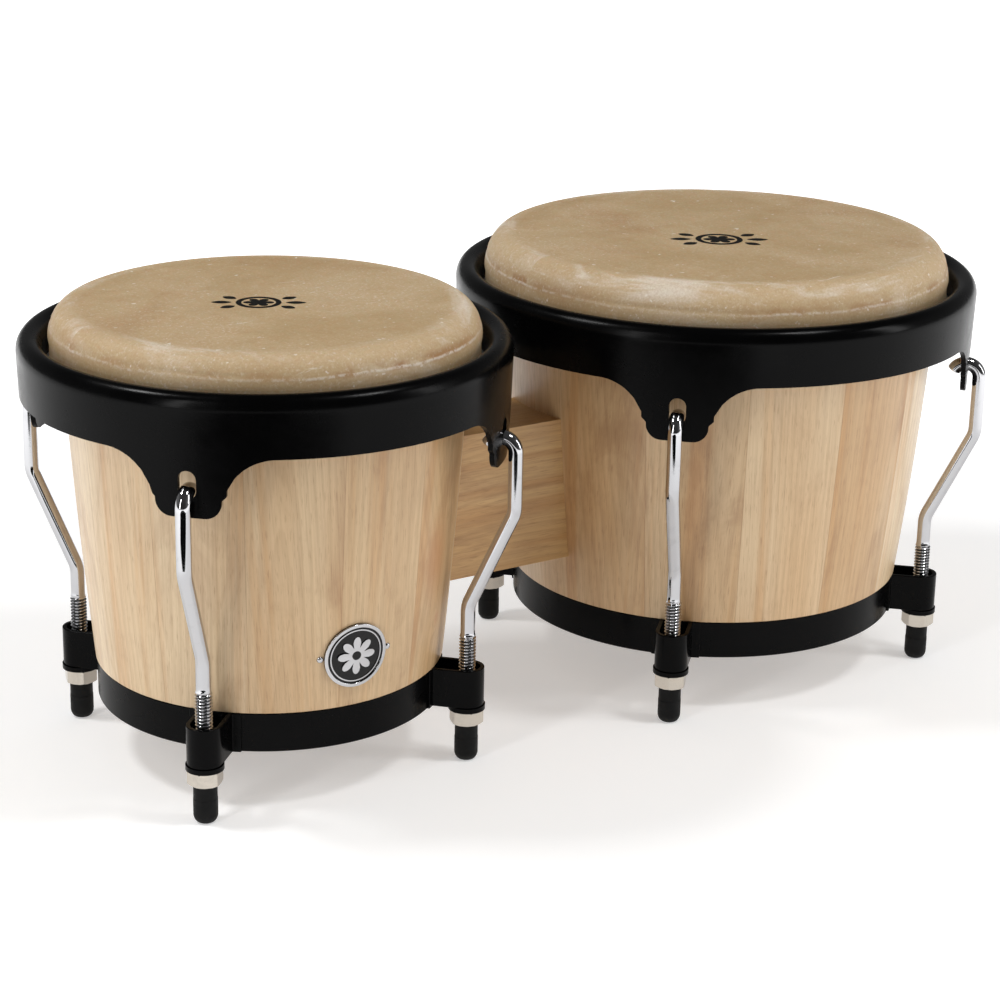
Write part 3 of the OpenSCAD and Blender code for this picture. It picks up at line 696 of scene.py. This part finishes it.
def make_head(drum, material):
    """The skin, stretched from the bearing edge to the flesh hoop."""
    profile, flat_r = head_profile(drum)
    rng = np.random.default_rng(7 if drum.name == "macho" else 11)
    waves = [(int(k), rng.uniform(0, TURN), rng.uniform(0.3, 1.0)) for k in rng.integers(9, 90, 14)]
    crease_z = drum.crest_z + CREASE_UP

    def shift(r, z, a):
        if r < flat_r * 0.6:
            return 0, 0
        slack = min(max((drum.skin_top - z) / (9 * MM), 0), 1)
        held = min(max((z - drum.hoop_z - 4 * MM) / (8 * MM), 0), 1)
        wave = sum(w * math.sin(k * a + p) for k, p, w in waves) / len(waves)
        crease = math.exp(-((z - crease_z) / (0.9 * MM)) ** 2)
        crease *= 0.6 + 0.4 * math.sin(5 * a + 1)
        inward = -0.30 * MM * crease - 0.25 * MM - 0.35 * MM * wave
        return inward * slack * held, 0
    obj = lathe(drum.name + "_skin", profile, drum.x, 360, shift=shift, sharp=math.radians(60))
    mid_r = drum.skin_r

    def place(co):
        return math.atan2(co.y, co.x - drum.x) * mid_r, side_v(drum, math.hypot(co.x - drum.x, co.y), co.z)
    uv_map(obj, place, TURN * mid_r)
    dress(obj, material)
    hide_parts(drum.name + "_head")
    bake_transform(obj)
    return obj


# ---------------------------------------------------------------- rims

FLARE_END = FLARE_X - math.sqrt(FLARE_R ** 2 - (FLARE_R - FLARE_DROP) ** 2)


def tab_edge(s):
    """How far the rim's lower edge hangs below the band, at a distance s from a lug's middle."""
    s = abs(s)
    corner_x = TAB_W / 2 - TAB_CORNER
    slope_low = FLARE_DROP + SHOULDER_H + SHOULDER_SLOPE
    if s <= corner_x:
        return TAB_DROP
    if s <= TAB_W / 2:
        return TAB_DROP - TAB_CORNER + math.sqrt(TAB_CORNER ** 2 - (s - corner_x) ** 2)
    if s <= FLARE_END:
        return slope_low - SHOULDER_SLOPE * (s - TAB_W / 2) / (FLARE_END - TAB_W / 2)
    if s <= FLARE_X:
        return FLARE_R - math.sqrt(FLARE_R ** 2 - (FLARE_X - s) ** 2)
    return 0.0


def lug_steps():
    """Distances from a lug's middle at which the rim's edge needs a column of vertices."""
    corner_x = TAB_W / 2 - TAB_CORNER
    half = list(np.linspace(0, corner_x, 8))
    half += [corner_x + TAB_CORNER * math.sin(a) for a in np.linspace(0, math.pi / 2, 12)[1:]]
    half += [TAB_W / 2 + 0.08 * MM, (TAB_W / 2 + FLARE_END) / 2, FLARE_END, FLARE_END + 0.08 * MM]
    half += [FLARE_X - t for t in np.geomspace(FLARE_X - FLARE_END, 0.4 * MM, 20)[1:]] + [FLARE_X]
    return sorted(set([-h for h in half] + half))


def make_rim(drum):
    """The pressed steel rim: rolled top, band, four tabs with slots."""
    crest_r = drum.rim_r - ROLL_OUT
    mid = RIM_WALL / 2
    angles = []
    for i in range(LUGS):
        centre = drum.turn + i * TURN / LUGS
        near = [centre + math.asin(s / drum.band_r(drum.band_z)) for s in lug_steps()]
        angles += near
        start, end = near[-1], centre + TURN / LUGS - (near[-1] - centre)
        angles += list(np.linspace(start, end, 26)[1:-1])
    columns = len(angles)
    roll = arc(crest_r, drum.roll_z, ROLL_OUT - mid, ROLL_H - mid, 0, 90, 12)
    roll += arc(crest_r, drum.roll_z, ROLL_W - ROLL_OUT - mid, ROLL_H - mid, 90, 180, 12)[1:]
    inner_r = drum.rim_r - ROLL_W + mid
    roll += [(inner_r, z) for z in np.linspace(drum.roll_z, drum.leg_z, 5)[1:]]
    band_rows = 10
    rows = []
    for t in np.linspace(0, 1, band_rows + 1)[:-1]:
        row = []
        for a in angles:
            nearest = round((a - drum.turn) / (TURN / LUGS)) * TURN / LUGS + drum.turn
            hang = tab_edge(drum.band_r(drum.band_z) * math.sin(a - nearest))
            low = drum.band_z - hang
            z = low + (drum.roll_z - low) * t
            row.append((drum.band_r(z) - mid, z, a))
        rows.append(row)
    rows += [[(r, z, a) for a in angles] for r, z in roll]
    verts = [(drum.x + r * math.cos(a), r * math.sin(a), z) for row in rows for r, z, a in row]
    obj = mesh_piece(drum.name + "_rolled_rim", verts, grid_faces(len(rows), columns, True))
    modifier(obj, "SOLIDIFY", "steel", thickness=RIM_WALL, offset=0, use_even_offset=True)
    apply_modifiers(obj)
    for i in range(LUGS):
        cutter = slot_cutter(drum, i)
        modifier(obj, "BOOLEAN", "slot", object=cutter, operation="DIFFERENCE", solver="EXACT")
        apply_modifiers(obj)
        bpy.data.objects.remove(cutter)
    obj.data.shade_smooth()
    obj.data.set_sharp_from_angle(angle=math.radians(40))
    soften(obj, 0.45 * MM, 3, 50)
    dress(obj, "black")
    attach(obj, drum.tuning)
    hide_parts(drum.name + "_rim")
    return obj


def slot_cutter(drum, lug):
    """A bar of the slot's outline, through the band at one lug."""
    low_z = drum.hook_z + math.sqrt((HOOK_R - SHANK_R) ** 2 - (RIM_WALL / 2) ** 2) - 0.05 * MM
    r = SLOT_W / 2
    outline = arc(0, low_z + SLOT_H - r, r, r, 0, 180, 16) + arc(0, low_z + r, r, r, 180, 360, 16)
    near, far = drum.rim_r - ROLL_W, drum.rim_r + 2 * MM
    count = len(outline)
    verts = [drum.place(lug) @ Vector((x, s, z)) for x in (near, far) for s, z in outline]
    faces = grid_faces(2, count, True) + [list(range(count)), list(range(2 * count - 1, count - 1, -1))]
    return mesh_piece("cutter", verts, faces)


def make_hoop(drum):
    """The round steel flesh hoop inside the rim."""
    profile = arc(drum.hoop_r, drum.hoop_z, drum.hoop_minor, drum.hoop_minor, 0, 345, 23)
    obj = lathe(drum.name + "_hoop_rod", profile, drum.x, 256)
    dress(obj, "zinc")
    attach(obj, drum.tuning)
    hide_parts(drum.name + "_flesh_hoop")


# ---------------------------------------------------------------- rods, feet and nuts

def rod_path(drum):
    """The rod's centreline as (radius, height, lean) points, with the bends and the hook as fine arcs."""
    low_x = drum.rod_r
    high_x = drum.hook_axis_r + HOOK_R
    low_bend_z = drum.bracket_top + BEND_LOW
    high_bend_z = drum.hook_z - BEND_HIGH
    slant = math.atan((high_x - low_x) / (high_bend_z - low_bend_z))
    reach = BEND_R * math.tan(slant / 2)
    low_z = low_bend_z - reach
    high_z = high_bend_z + reach
    thread_z = drum.bracket_top + THREAD_SHOW
    path = [(low_x, z, 0) for z in np.linspace(thread_z + 0.6 * MM, low_z, 6)[:-1]]
    path += [(low_x + BEND_R * (1 - math.cos(a)), low_z + BEND_R * math.sin(a), a)
             for a in np.linspace(0, slant, 9)]
    path += [(high_x - BEND_R * (1 - math.cos(a)), high_z - BEND_R * math.sin(a), a)
             for a in np.linspace(slant, 0, 9)]
    path += [(high_x - HOOK_R * (1 - math.cos(a)), drum.hook_z + HOOK_R * math.sin(a), -a)
             for a in np.linspace(0, HOOK_SWEEP, 30)]
    return path, thread_z


def make_rod(drum, lug):
    """One hooked tuning rod with its rolled thread cut as a real helix."""
    sides = 32
    path, thread_z = rod_path(drum)
    verts = []
    turns_z = np.arange(CAP_FLOOR + THREAD_PITCH, thread_z, THREAD_PITCH / 8)
    for z in turns_z:
        fade = min(1.0, max(0.0, (thread_z - z) / THREAD_PITCH))
        for k in range(sides):
            phase = (z / THREAD_PITCH - k / sides) % 1
            ridge = min(1.0, max(0.0, 1.6 * abs(2 * phase - 1) - 0.3))
            r = THREAD_R - THREAD_DEPTH * 2 * (1 - ridge) * fade - (THREAD_R - SHANK_R) * (1 - fade) * 0.5
            a = TURN * k / sides
            verts.append((drum.rod_r + r * math.cos(a), r * math.sin(a), z))
    end = path[-1]
    tip = 0.5 * MM
    rings = [(x, z, lean, SHANK_R) for x, z, lean in path]
    for t in (0.35, 0.7, 1.0):
        rings.append((end[0] + tip * t * math.sin(end[2]), end[1] + tip * t * math.cos(end[2]), end[2],
                      SHANK_R - tip * t * t))
    for x, z, lean, r in rings:
        for k in range(sides):
            a = TURN * k / sides
            verts.append((x + r * math.cos(a) * math.cos(lean), r * math.sin(a),
                          z - r * math.cos(a) * math.sin(lean)))
    count = len(turns_z) + len(rings)
    faces = grid_faces(count, sides, True)
    faces += [list(range(sides)), list(range((count - 1) * sides, count * sides))]
    verts = [drum.place(lug) @ Vector(v) for v in verts]
    axis_at = drum.place(lug) @ Vector((drum.rod_r, 0, 0))
    obj = mesh_piece("%s_tuning_rod_%d" % (drum.name, lug + 1), verts, faces, math.radians(50))
    dress(obj, "chrome")
    # The thread's grooves take a dark grey metal: painted shade in the roots of the thread
    obj.data.materials.append(looks["groove_shade"])
    groove = THREAD_R - THREAD_DEPTH * 1.1
    for face in obj.data.polygons:
        spots = [obj.data.vertices[i].co - axis_at for i in face.vertices]
        if max(s.z for s in spots) < thread_z - THREAD_PITCH:
            face.material_index = int(sum(math.hypot(s.x, s.y) for s in spots) / len(spots) < groove)
    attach(obj, drum.tuning)
    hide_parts("%s_rod_%d" % (drum.name, lug + 1))


def make_foot(drum, lug):
    """A dipped rubber cap with a rounded tip, a parting ridge and a soft top edge."""
    low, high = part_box("%s_foot_%d" % (drum.name, lug + 1))
    r = (high.x - low.x) / 2
    top = high.z
    profile = [(0, 0), (r * 0.3, 0)] + arc(r * 0.5, r * 0.7, r * 0.5, r * 0.7, -80, 0, 12)
    profile += [(r, top * 0.62), (r - 0.12 * MM, top * 0.63), (r - 0.12 * MM, top - 1.0 * MM)]
    profile += arc(r - 0.7 * MM, top - 0.6 * MM, 0.6 * MM, 0.6 * MM, 0, 90, 4)
    profile += [(THREAD_R + 0.2 * MM, top), (THREAD_R, top - 0.4 * MM), (THREAD_R, CAP_FLOOR), (0, CAP_FLOOR)]
    obj = lathe("%s_rubber_foot_%d" % (drum.name, lug + 1), profile, 0, 48)
    obj.data.transform(drum.place(lug) @ Matrix.Translation((drum.rod_r, 0, 0)))
    dress(obj, "rubber")
    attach(obj, drum.tuning)
    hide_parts("%s_foot_%d" % (drum.name, lug + 1))


# ---------------------------------------------------------------- bottom rings

def strap_path(drum):
    """Middle line of a bracket's strap, seen from above: flange, leg, round nose, leg, flange."""
    half = BRACKET_W / 2 - STRAP_T / 2
    on_ring = drum.ring_r - STRAP_T / 2 + FLANGE_PROUD
    fillet = 1.2 * MM
    leg_x = math.sqrt(on_ring ** 2 - (half + fillet) ** 2) + fillet
    flange = []
    for s in np.linspace(half + STRAP_T / 2 + FLANGE_W, half + fillet, 5):
        flange.append((math.sqrt(on_ring ** 2 - s ** 2), s))
    turn = [(leg_x - fillet * math.sin(a), half + fillet - fillet * math.cos(a))
            for a in np.radians((70, 45, 20))]
    leg = [(x, half) for x in np.linspace(leg_x, drum.rod_r, 5)]
    side = flange + turn + leg
    nose = [(drum.rod_r + half * math.sin(a), half * math.cos(a))
            for a in np.radians(np.linspace(0, 180, 17))[1:-1]]
    return side + nose + [(x, -y) for x, y in reversed(side)]


def make_ring(drum):
    """The bottom ring with its four welded brackets, as one piece."""
    r, t = drum.ring_r, RING_T
    low, high = drum.ring_z, drum.ring_z + RING_H
    c = 0.45 * MM
    profile = [(r - c, low), (r, low + c), (r, high - c), (r - c, high), (r - t + 0.1 * MM, high),
               (r - t, high - 0.1 * MM), (r - t, low)]
    band = lathe(drum.name + "_foot_ring", profile, drum.x, 288)
    soften(band, 0.2 * MM, 2, 30)
    dress(band, "black")
    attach(band, ROOT)
    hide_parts(drum.name + "_bottom_ring")
    path = strap_path(drum)
    rows = np.linspace(drum.bracket_z, drum.bracket_top, 4)
    for lug in range(LUGS):
        verts = [drum.place(lug) @ Vector((x, y, z)) for z in rows for x, y in path]
        obj = mesh_piece("%s_strap_%d" % (drum.name, lug + 1), verts, grid_faces(len(rows), len(path), False))
        modifier(obj, "SOLIDIFY", "steel", thickness=STRAP_T, offset=0, use_even_offset=True)
        soften(obj, 0.35 * MM, 3, 50)
        dress(obj, "black")
        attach(obj, ROOT)


# ---------------------------------------------------------------- badge and prints

def rosette(points, outer, inner, steps=8):
    """A closed outline of rounded petals round a centre."""
    outline = []
    for i in range(points * steps):
        a = TURN * i / (points * steps)
        swell = abs(math.cos(a * points / 2)) ** 0.7
        r = inner + (outer - inner) * swell
        outline.append((r * math.cos(a), r * math.sin(a)))
    return outline


def ring_outline(outer, inner, steps):
    """A flat ring as an outer and an inner circle of points."""
    angles = [TURN * i / steps for i in range(steps)]
    return [[(r * math.cos(a), r * math.sin(a)) for a in angles] for r in (outer, inner)]


def plate(name, loops, surface, low, high):
    """A thin plate between two heights over a surface; loops are an outline and, for a ring, its hole."""
    count = len(loops[0])
    verts = [surface(x, y, h) for h in (low, high) for loop in loops for x, y in loop]
    faces = []
    rings = len(loops)
    for k in range(count):
        m = (k + 1) % count
        for layer in range(2):
            base = layer * rings * count
            if rings == 2:
                faces.append([base + k, base + m, base + count + m, base + count + k])
        for loop in range(rings):
            base = loop * count
            faces.append([base + k, base + m, base + rings * count + m, base + rings * count + k])
    if rings == 1:
        for layer, h in ((0, low), (1, high)):
            centre = len(verts)
            verts.append(surface(*np.mean(loops[0], axis=0), h))
            faces += [[layer * count + k, layer * count + (k + 1) % count, centre] for k in range(count)]
    return mesh_piece(name, verts, faces, math.radians(30))


def make_badge(drum):
    """A round enamelled badge in a polished border, bent to the shell, with a petal motif."""
    low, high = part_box("badge_plate")
    z = (low.z + high.z) / 2
    r = (high.z - low.z) / 2
    lean = math.atan((drum.shell_r(z + MM) - drum.shell_r(z - MM)) / (2 * MM))
    bend = drum.shell_r(z) / math.cos(lean)
    to_world = (Matrix.Translation((drum.x, 0, 0)) @ Matrix.Rotation(BADGE_TURN, 4, "Z")
                @ Matrix.Translation((drum.shell_r(z), 0, z)) @ Matrix.Rotation(lean, 4, "Y"))

    def surface(x, y, h):
        a = x / bend
        out = bend + h
        return to_world @ Vector((out * math.cos(a) - bend, out * math.sin(a), y))
    seat = 0.05 * MM
    field = plate("badge_field",
                  [[(r * math.cos(TURN * i / 96), r * math.sin(TURN * i / 96)) for i in range(96)]],
                  surface, seat, BADGE_T)
    dress(field, "badge")
    border = plate("badge_border", ring_outline(r, r - BADGE_BORDER, 96), surface, BADGE_T / 2,
                   BADGE_T + BADGE_LIP)
    soften(border, 0.25 * MM, 3, 40)
    bead = plate("badge_bead", ring_outline(r - 2.4 * MM, r - 2.9 * MM, 96), surface, BADGE_T / 2,
                 BADGE_T + 0.2 * MM)
    petals = plate("badge_petals", [rosette(8, 8.2 * MM, 3.4 * MM)], surface, BADGE_T / 2, BADGE_T + 0.3 * MM)
    eye = plate("badge_eye",
                [[(1.9 * MM * math.cos(TURN * i / 32), 1.9 * MM * math.sin(TURN * i / 32))
                  for i in range(32)]],
                surface, BADGE_T, BADGE_T + 0.42 * MM)
    dress(eye, "badge")
    for obj in (border, bead, petals):
        dress(obj, "chrome")
    for obj in (field, border, bead, petals, eye):
        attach(obj, ROOT)
    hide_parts("badge_plate")


def leaf(length, wide, steps=16):
    """Outline of a pointed leaf, from the origin out along X."""
    upper = [(length * t, wide * math.sin(math.pi * t) ** 0.8) for t in np.linspace(0, 1, steps + 1)]
    return upper + [(x, -y) for x, y in reversed(upper[1:-1])]


def moved(outline, x, y, turn):
    """An outline turned and shifted on its sheet."""
    cos, sin = math.cos(turn), math.sin(turn)
    return [(x + px * cos - py * sin, y + px * sin + py * cos) for px, py in outline]


def make_print(drum, size, turn, offset):
    """A printed ornament on a head: a petal seal in a ring between two sprays of leaves."""
    cos, sin = math.cos(turn), math.sin(turn)
    level = drum.skin_top + 0.02 * MM

    def surface(x, y, h):
        return (drum.x + offset[0] + x * cos - y * sin, offset[1] + x * sin + y * cos, level + h)
    low, high = 0.0, 0.05 * MM
    seal = size * 0.44
    outlines = [("ring", ring_outline(seal, seal * 0.76, 72)),
                ("petals", [rosette(6, seal * 0.68, seal * 0.34)])]
    for side in (0, 1):
        for k, spread in enumerate((-0.55, 0.0, 0.55)):
            base_x = seal * 1.18 * math.cos(spread)
            base_y = seal * 1.18 * math.sin(spread)
            blade = moved(leaf(size * (0.40 if k == 1 else 0.32), size * 0.10), base_x, base_y, spread)
            outlines.append(("leaf_%d" % (side * 3 + k + 1), [moved(blade, 0, 0, side * math.pi)]))
    for name, loops in outlines:
        obj = plate("%s_print_%s" % (drum.name, name), loops, surface, low, high)
        dress(obj, "ink")
        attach(obj, ROOT)


# ---------------------------------------------------------------- carried-over CAD nodes

def finish_nodes():
    """Materials and softened edges for the CAD nodes that stay."""
    for name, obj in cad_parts.items():
        if "_nut_" in name:
            look, edge = "nickel", 0.18 * MM
        elif "_washer_" in name and "tie" not in name:
            look, edge = "black", 0.25 * MM
        elif "tie" in name:
            look, edge = "zinc", 0.2 * MM
        elif name == "badge_tacks":
            look, edge = "chrome", 0.05 * MM
        elif name == "centre_block":
            look, edge = "block", 0.8 * MM
        else:
            continue
        dress(obj, look)
        obj.data.shade_smooth()
        obj.data.set_sharp_from_angle(angle=math.radians(25))
        soften(obj, edge, 2, 30)


# ---------------------------------------------------------------- stage

def surroundings():
    """A studio tent: bright walls left and right, dimmer behind the camera and overhead, white to look at."""
    world = bpy.data.worlds.new("studio")
    world.use_nodes = True
    tree = world.node_tree
    tree.nodes.clear()

    def add(kind, **settings):
        node = tree.nodes.new("ShaderNode" + kind)
        for key, value in settings.items():
            setattr(node, key, value)
        return node

    def compute(operation, a, b):
        node = add("Math", operation=operation)
        for socket, value in zip(node.inputs, (a, b)):
            if isinstance(value, bpy.types.NodeSocket):
                tree.links.new(value, socket)
            else:
                socket.default_value = value
        return node.outputs[0]

    def ranged(value, low, high, to_low, to_high):
        node = add("MapRange", interpolation_type="SMOOTHSTEP")
        tree.links.new(value, node.inputs["Value"])
        for key, number in (("From Min", low), ("From Max", high), ("To Min", to_low), ("To Max", to_high)):
            node.inputs[key].default_value = number
        return node.outputs[0]

    place = add("TexCoord").outputs["Generated"]
    parts = add("SeparateXYZ")
    tree.links.new(place, parts.inputs[0])
    x, y, z = parts.outputs
    away = compute("ADD", compute("MULTIPLY", x, VIEW_DIR[0]), compute("MULTIPLY", y, VIEW_DIR[1]))
    side = compute("SUBTRACT", compute("MULTIPLY", x, VIEW_DIR[1]), compute("MULTIPLY", y, VIEW_DIR[0]))
    front = ranged(away, -0.95, 0.15, TENT_FRONT, 1.0)
    wall = compute("MULTIPLY", front, compute("ADD", ranged(side, -1.0, -0.35, TENT_LEFT, TENT_BACK),
                                              ranged(side, 0.35, 1.0, 0.0, TENT_RIGHT - TENT_BACK)))
    high = ranged(z, 0.30, 0.85, 0.0, 1.0)
    glow = compute("ADD", compute("MULTIPLY", wall, compute("SUBTRACT", 1.0, high)),
                   compute("MULTIPLY", high, TENT_TOP))
    rays = add("LightPath").outputs
    mirrored = compute("SUBTRACT", 1.0, compute("MULTIPLY", rays["Is Glossy Ray"], 1.0 - TENT_GLOSS))
    strength = compute("MAXIMUM", compute("MULTIPLY", glow, mirrored),
                       compute("MULTIPLY", rays["Is Camera Ray"], 1.2))
    light = add("Background")
    tree.links.new(strength, light.inputs["Strength"])
    tree.links.new(light.outputs[0], add("OutputWorld").inputs["Surface"])
    return world


def make_stage():
    """Pale floor that glows a little near the set and fully further off, as painted light; white
    surroundings, soft studio lights and a dark card in front of the set.
    """
    scene = bpy.context.scene
    scene.view_settings.view_transform = "Standard"
    floor = mesh_piece("floor", [(-6, -6, 0), (6, -6, 0), (6, 6, 0), (-6, 6, 0)], [[0, 1, 2, 3]])
    n = Nodes("floor_paper_painted_glow")
    paper = n.noise(n.place(), 800.0, 3.0)
    length = n.add("VectorMath", operation="LENGTH")
    n.link(n.place(), length.inputs[0])
    away = length.outputs["Value"]
    # The floor glows, more with distance from the middle: painted light that lifts the shadows under the
    # drums and turns the far floor white
    floor.data.materials.append(n.set(
        Base_Color=n.mix(paper, (0.80, 0.80, 0.80, 1), (0.82, 0.82, 0.82, 1)), Roughness=0.9,
        Specular_IOR_Level=0.1,
        Emission_Color=(1, 1, 1, 1), Emission_Strength=n.ranged(away, FLOOR_NEAR, FLOOR_FAR, FLOOR_GLOW, 1.0),
    ))
    card = mesh_piece("dark_card", [CARD_MIDDLE + CARD_TURN @ Vector(corner) for corner in CARD_CORNERS],
                      [[0, 1, 2, 3]])
    card.data.materials.append(Nodes("card_felt").set(Base_Color=(0.004, 0.004, 0.004, 1), Roughness=1.0,
                                                      Specular_IOR_Level=0.0))
    card.visible_camera = False
    card.visible_shadow = False
    scene.world = surroundings()
    for name, spot, wide, tall, power in LIGHTS:
        data = bpy.data.lights.new(name, "AREA")
        data.shape = "RECTANGLE"
        data.size = wide
        data.size_y = tall
        data.energy = power
        obj = bpy.data.objects.new(name, data)
        obj.location = spot
        obj.rotation_euler = (Vector((0, 0, 0.12)) - Vector(spot)).to_track_quat("-Z", "Y").to_euler()
        scene.collection.objects.link(obj)


def make_camera(small):
    """The camera in front and to the left, looking down on the pair."""
    yaw, pitch, roll = -0.5775, -0.3274, 0.019
    forward = Vector((-math.sin(yaw) * math.cos(pitch), math.cos(yaw) * math.cos(pitch), math.sin(pitch)))
    right = Vector((math.cos(yaw), math.sin(yaw), 0))
    up = right.cross(forward)
    turned_right = right * math.cos(roll) + up * math.sin(roll)
    turned_up = up * math.cos(roll) - right * math.sin(roll)
    data = bpy.data.cameras.new("camera")
    data.lens = 93.37
    data.sensor_width = 36
    obj = bpy.data.objects.new("camera", data)
    place = Matrix((turned_right, turned_up, -forward)).transposed().to_4x4()
    place.translation = Vector((small.x - 0.47785, -0.9101, 0.45655))
    obj.matrix_world = place
    bpy.context.scene.collection.objects.link(obj)
    bpy.context.scene.camera = obj


drums = {name: Drum(name) for name in DRUMS}
shell_looks = {
    "macho": stave_wood("macho_shell_wood", SHELL_TONES, 39 * MM, 0.4, MACHO_KNOTS),
    "hembra": stave_wood("hembra_shell_wood", SHELL_TONES, 43 * MM, 4.6),
}
for drum in drums.values():
    make_shell(drum, shell_looks[drum.name], looks["inside"])
    make_head(drum, rawhide(drum.name + "_rawhide", HIDE_TONES, crease_place(drum), CHALK_TURN * drum.skin_r,
                            HIDE_SEED[drum.name]))
    make_rim(drum)
    make_hoop(drum)
    make_ring(drum)
    for lug in range(LUGS):
        make_rod(drum, lug)
        make_foot(drum, lug)
make_badge(drums["macho"])
make_print(drums["macho"], 21 * MM, PRINT_TURN, (-4 * MM, -1 * MM))
make_print(drums["hembra"], 24 * MM, PRINT_TURN, (-7 * MM, -11 * MM))
finish_nodes()
make_camera(drums["macho"])
make_stage()
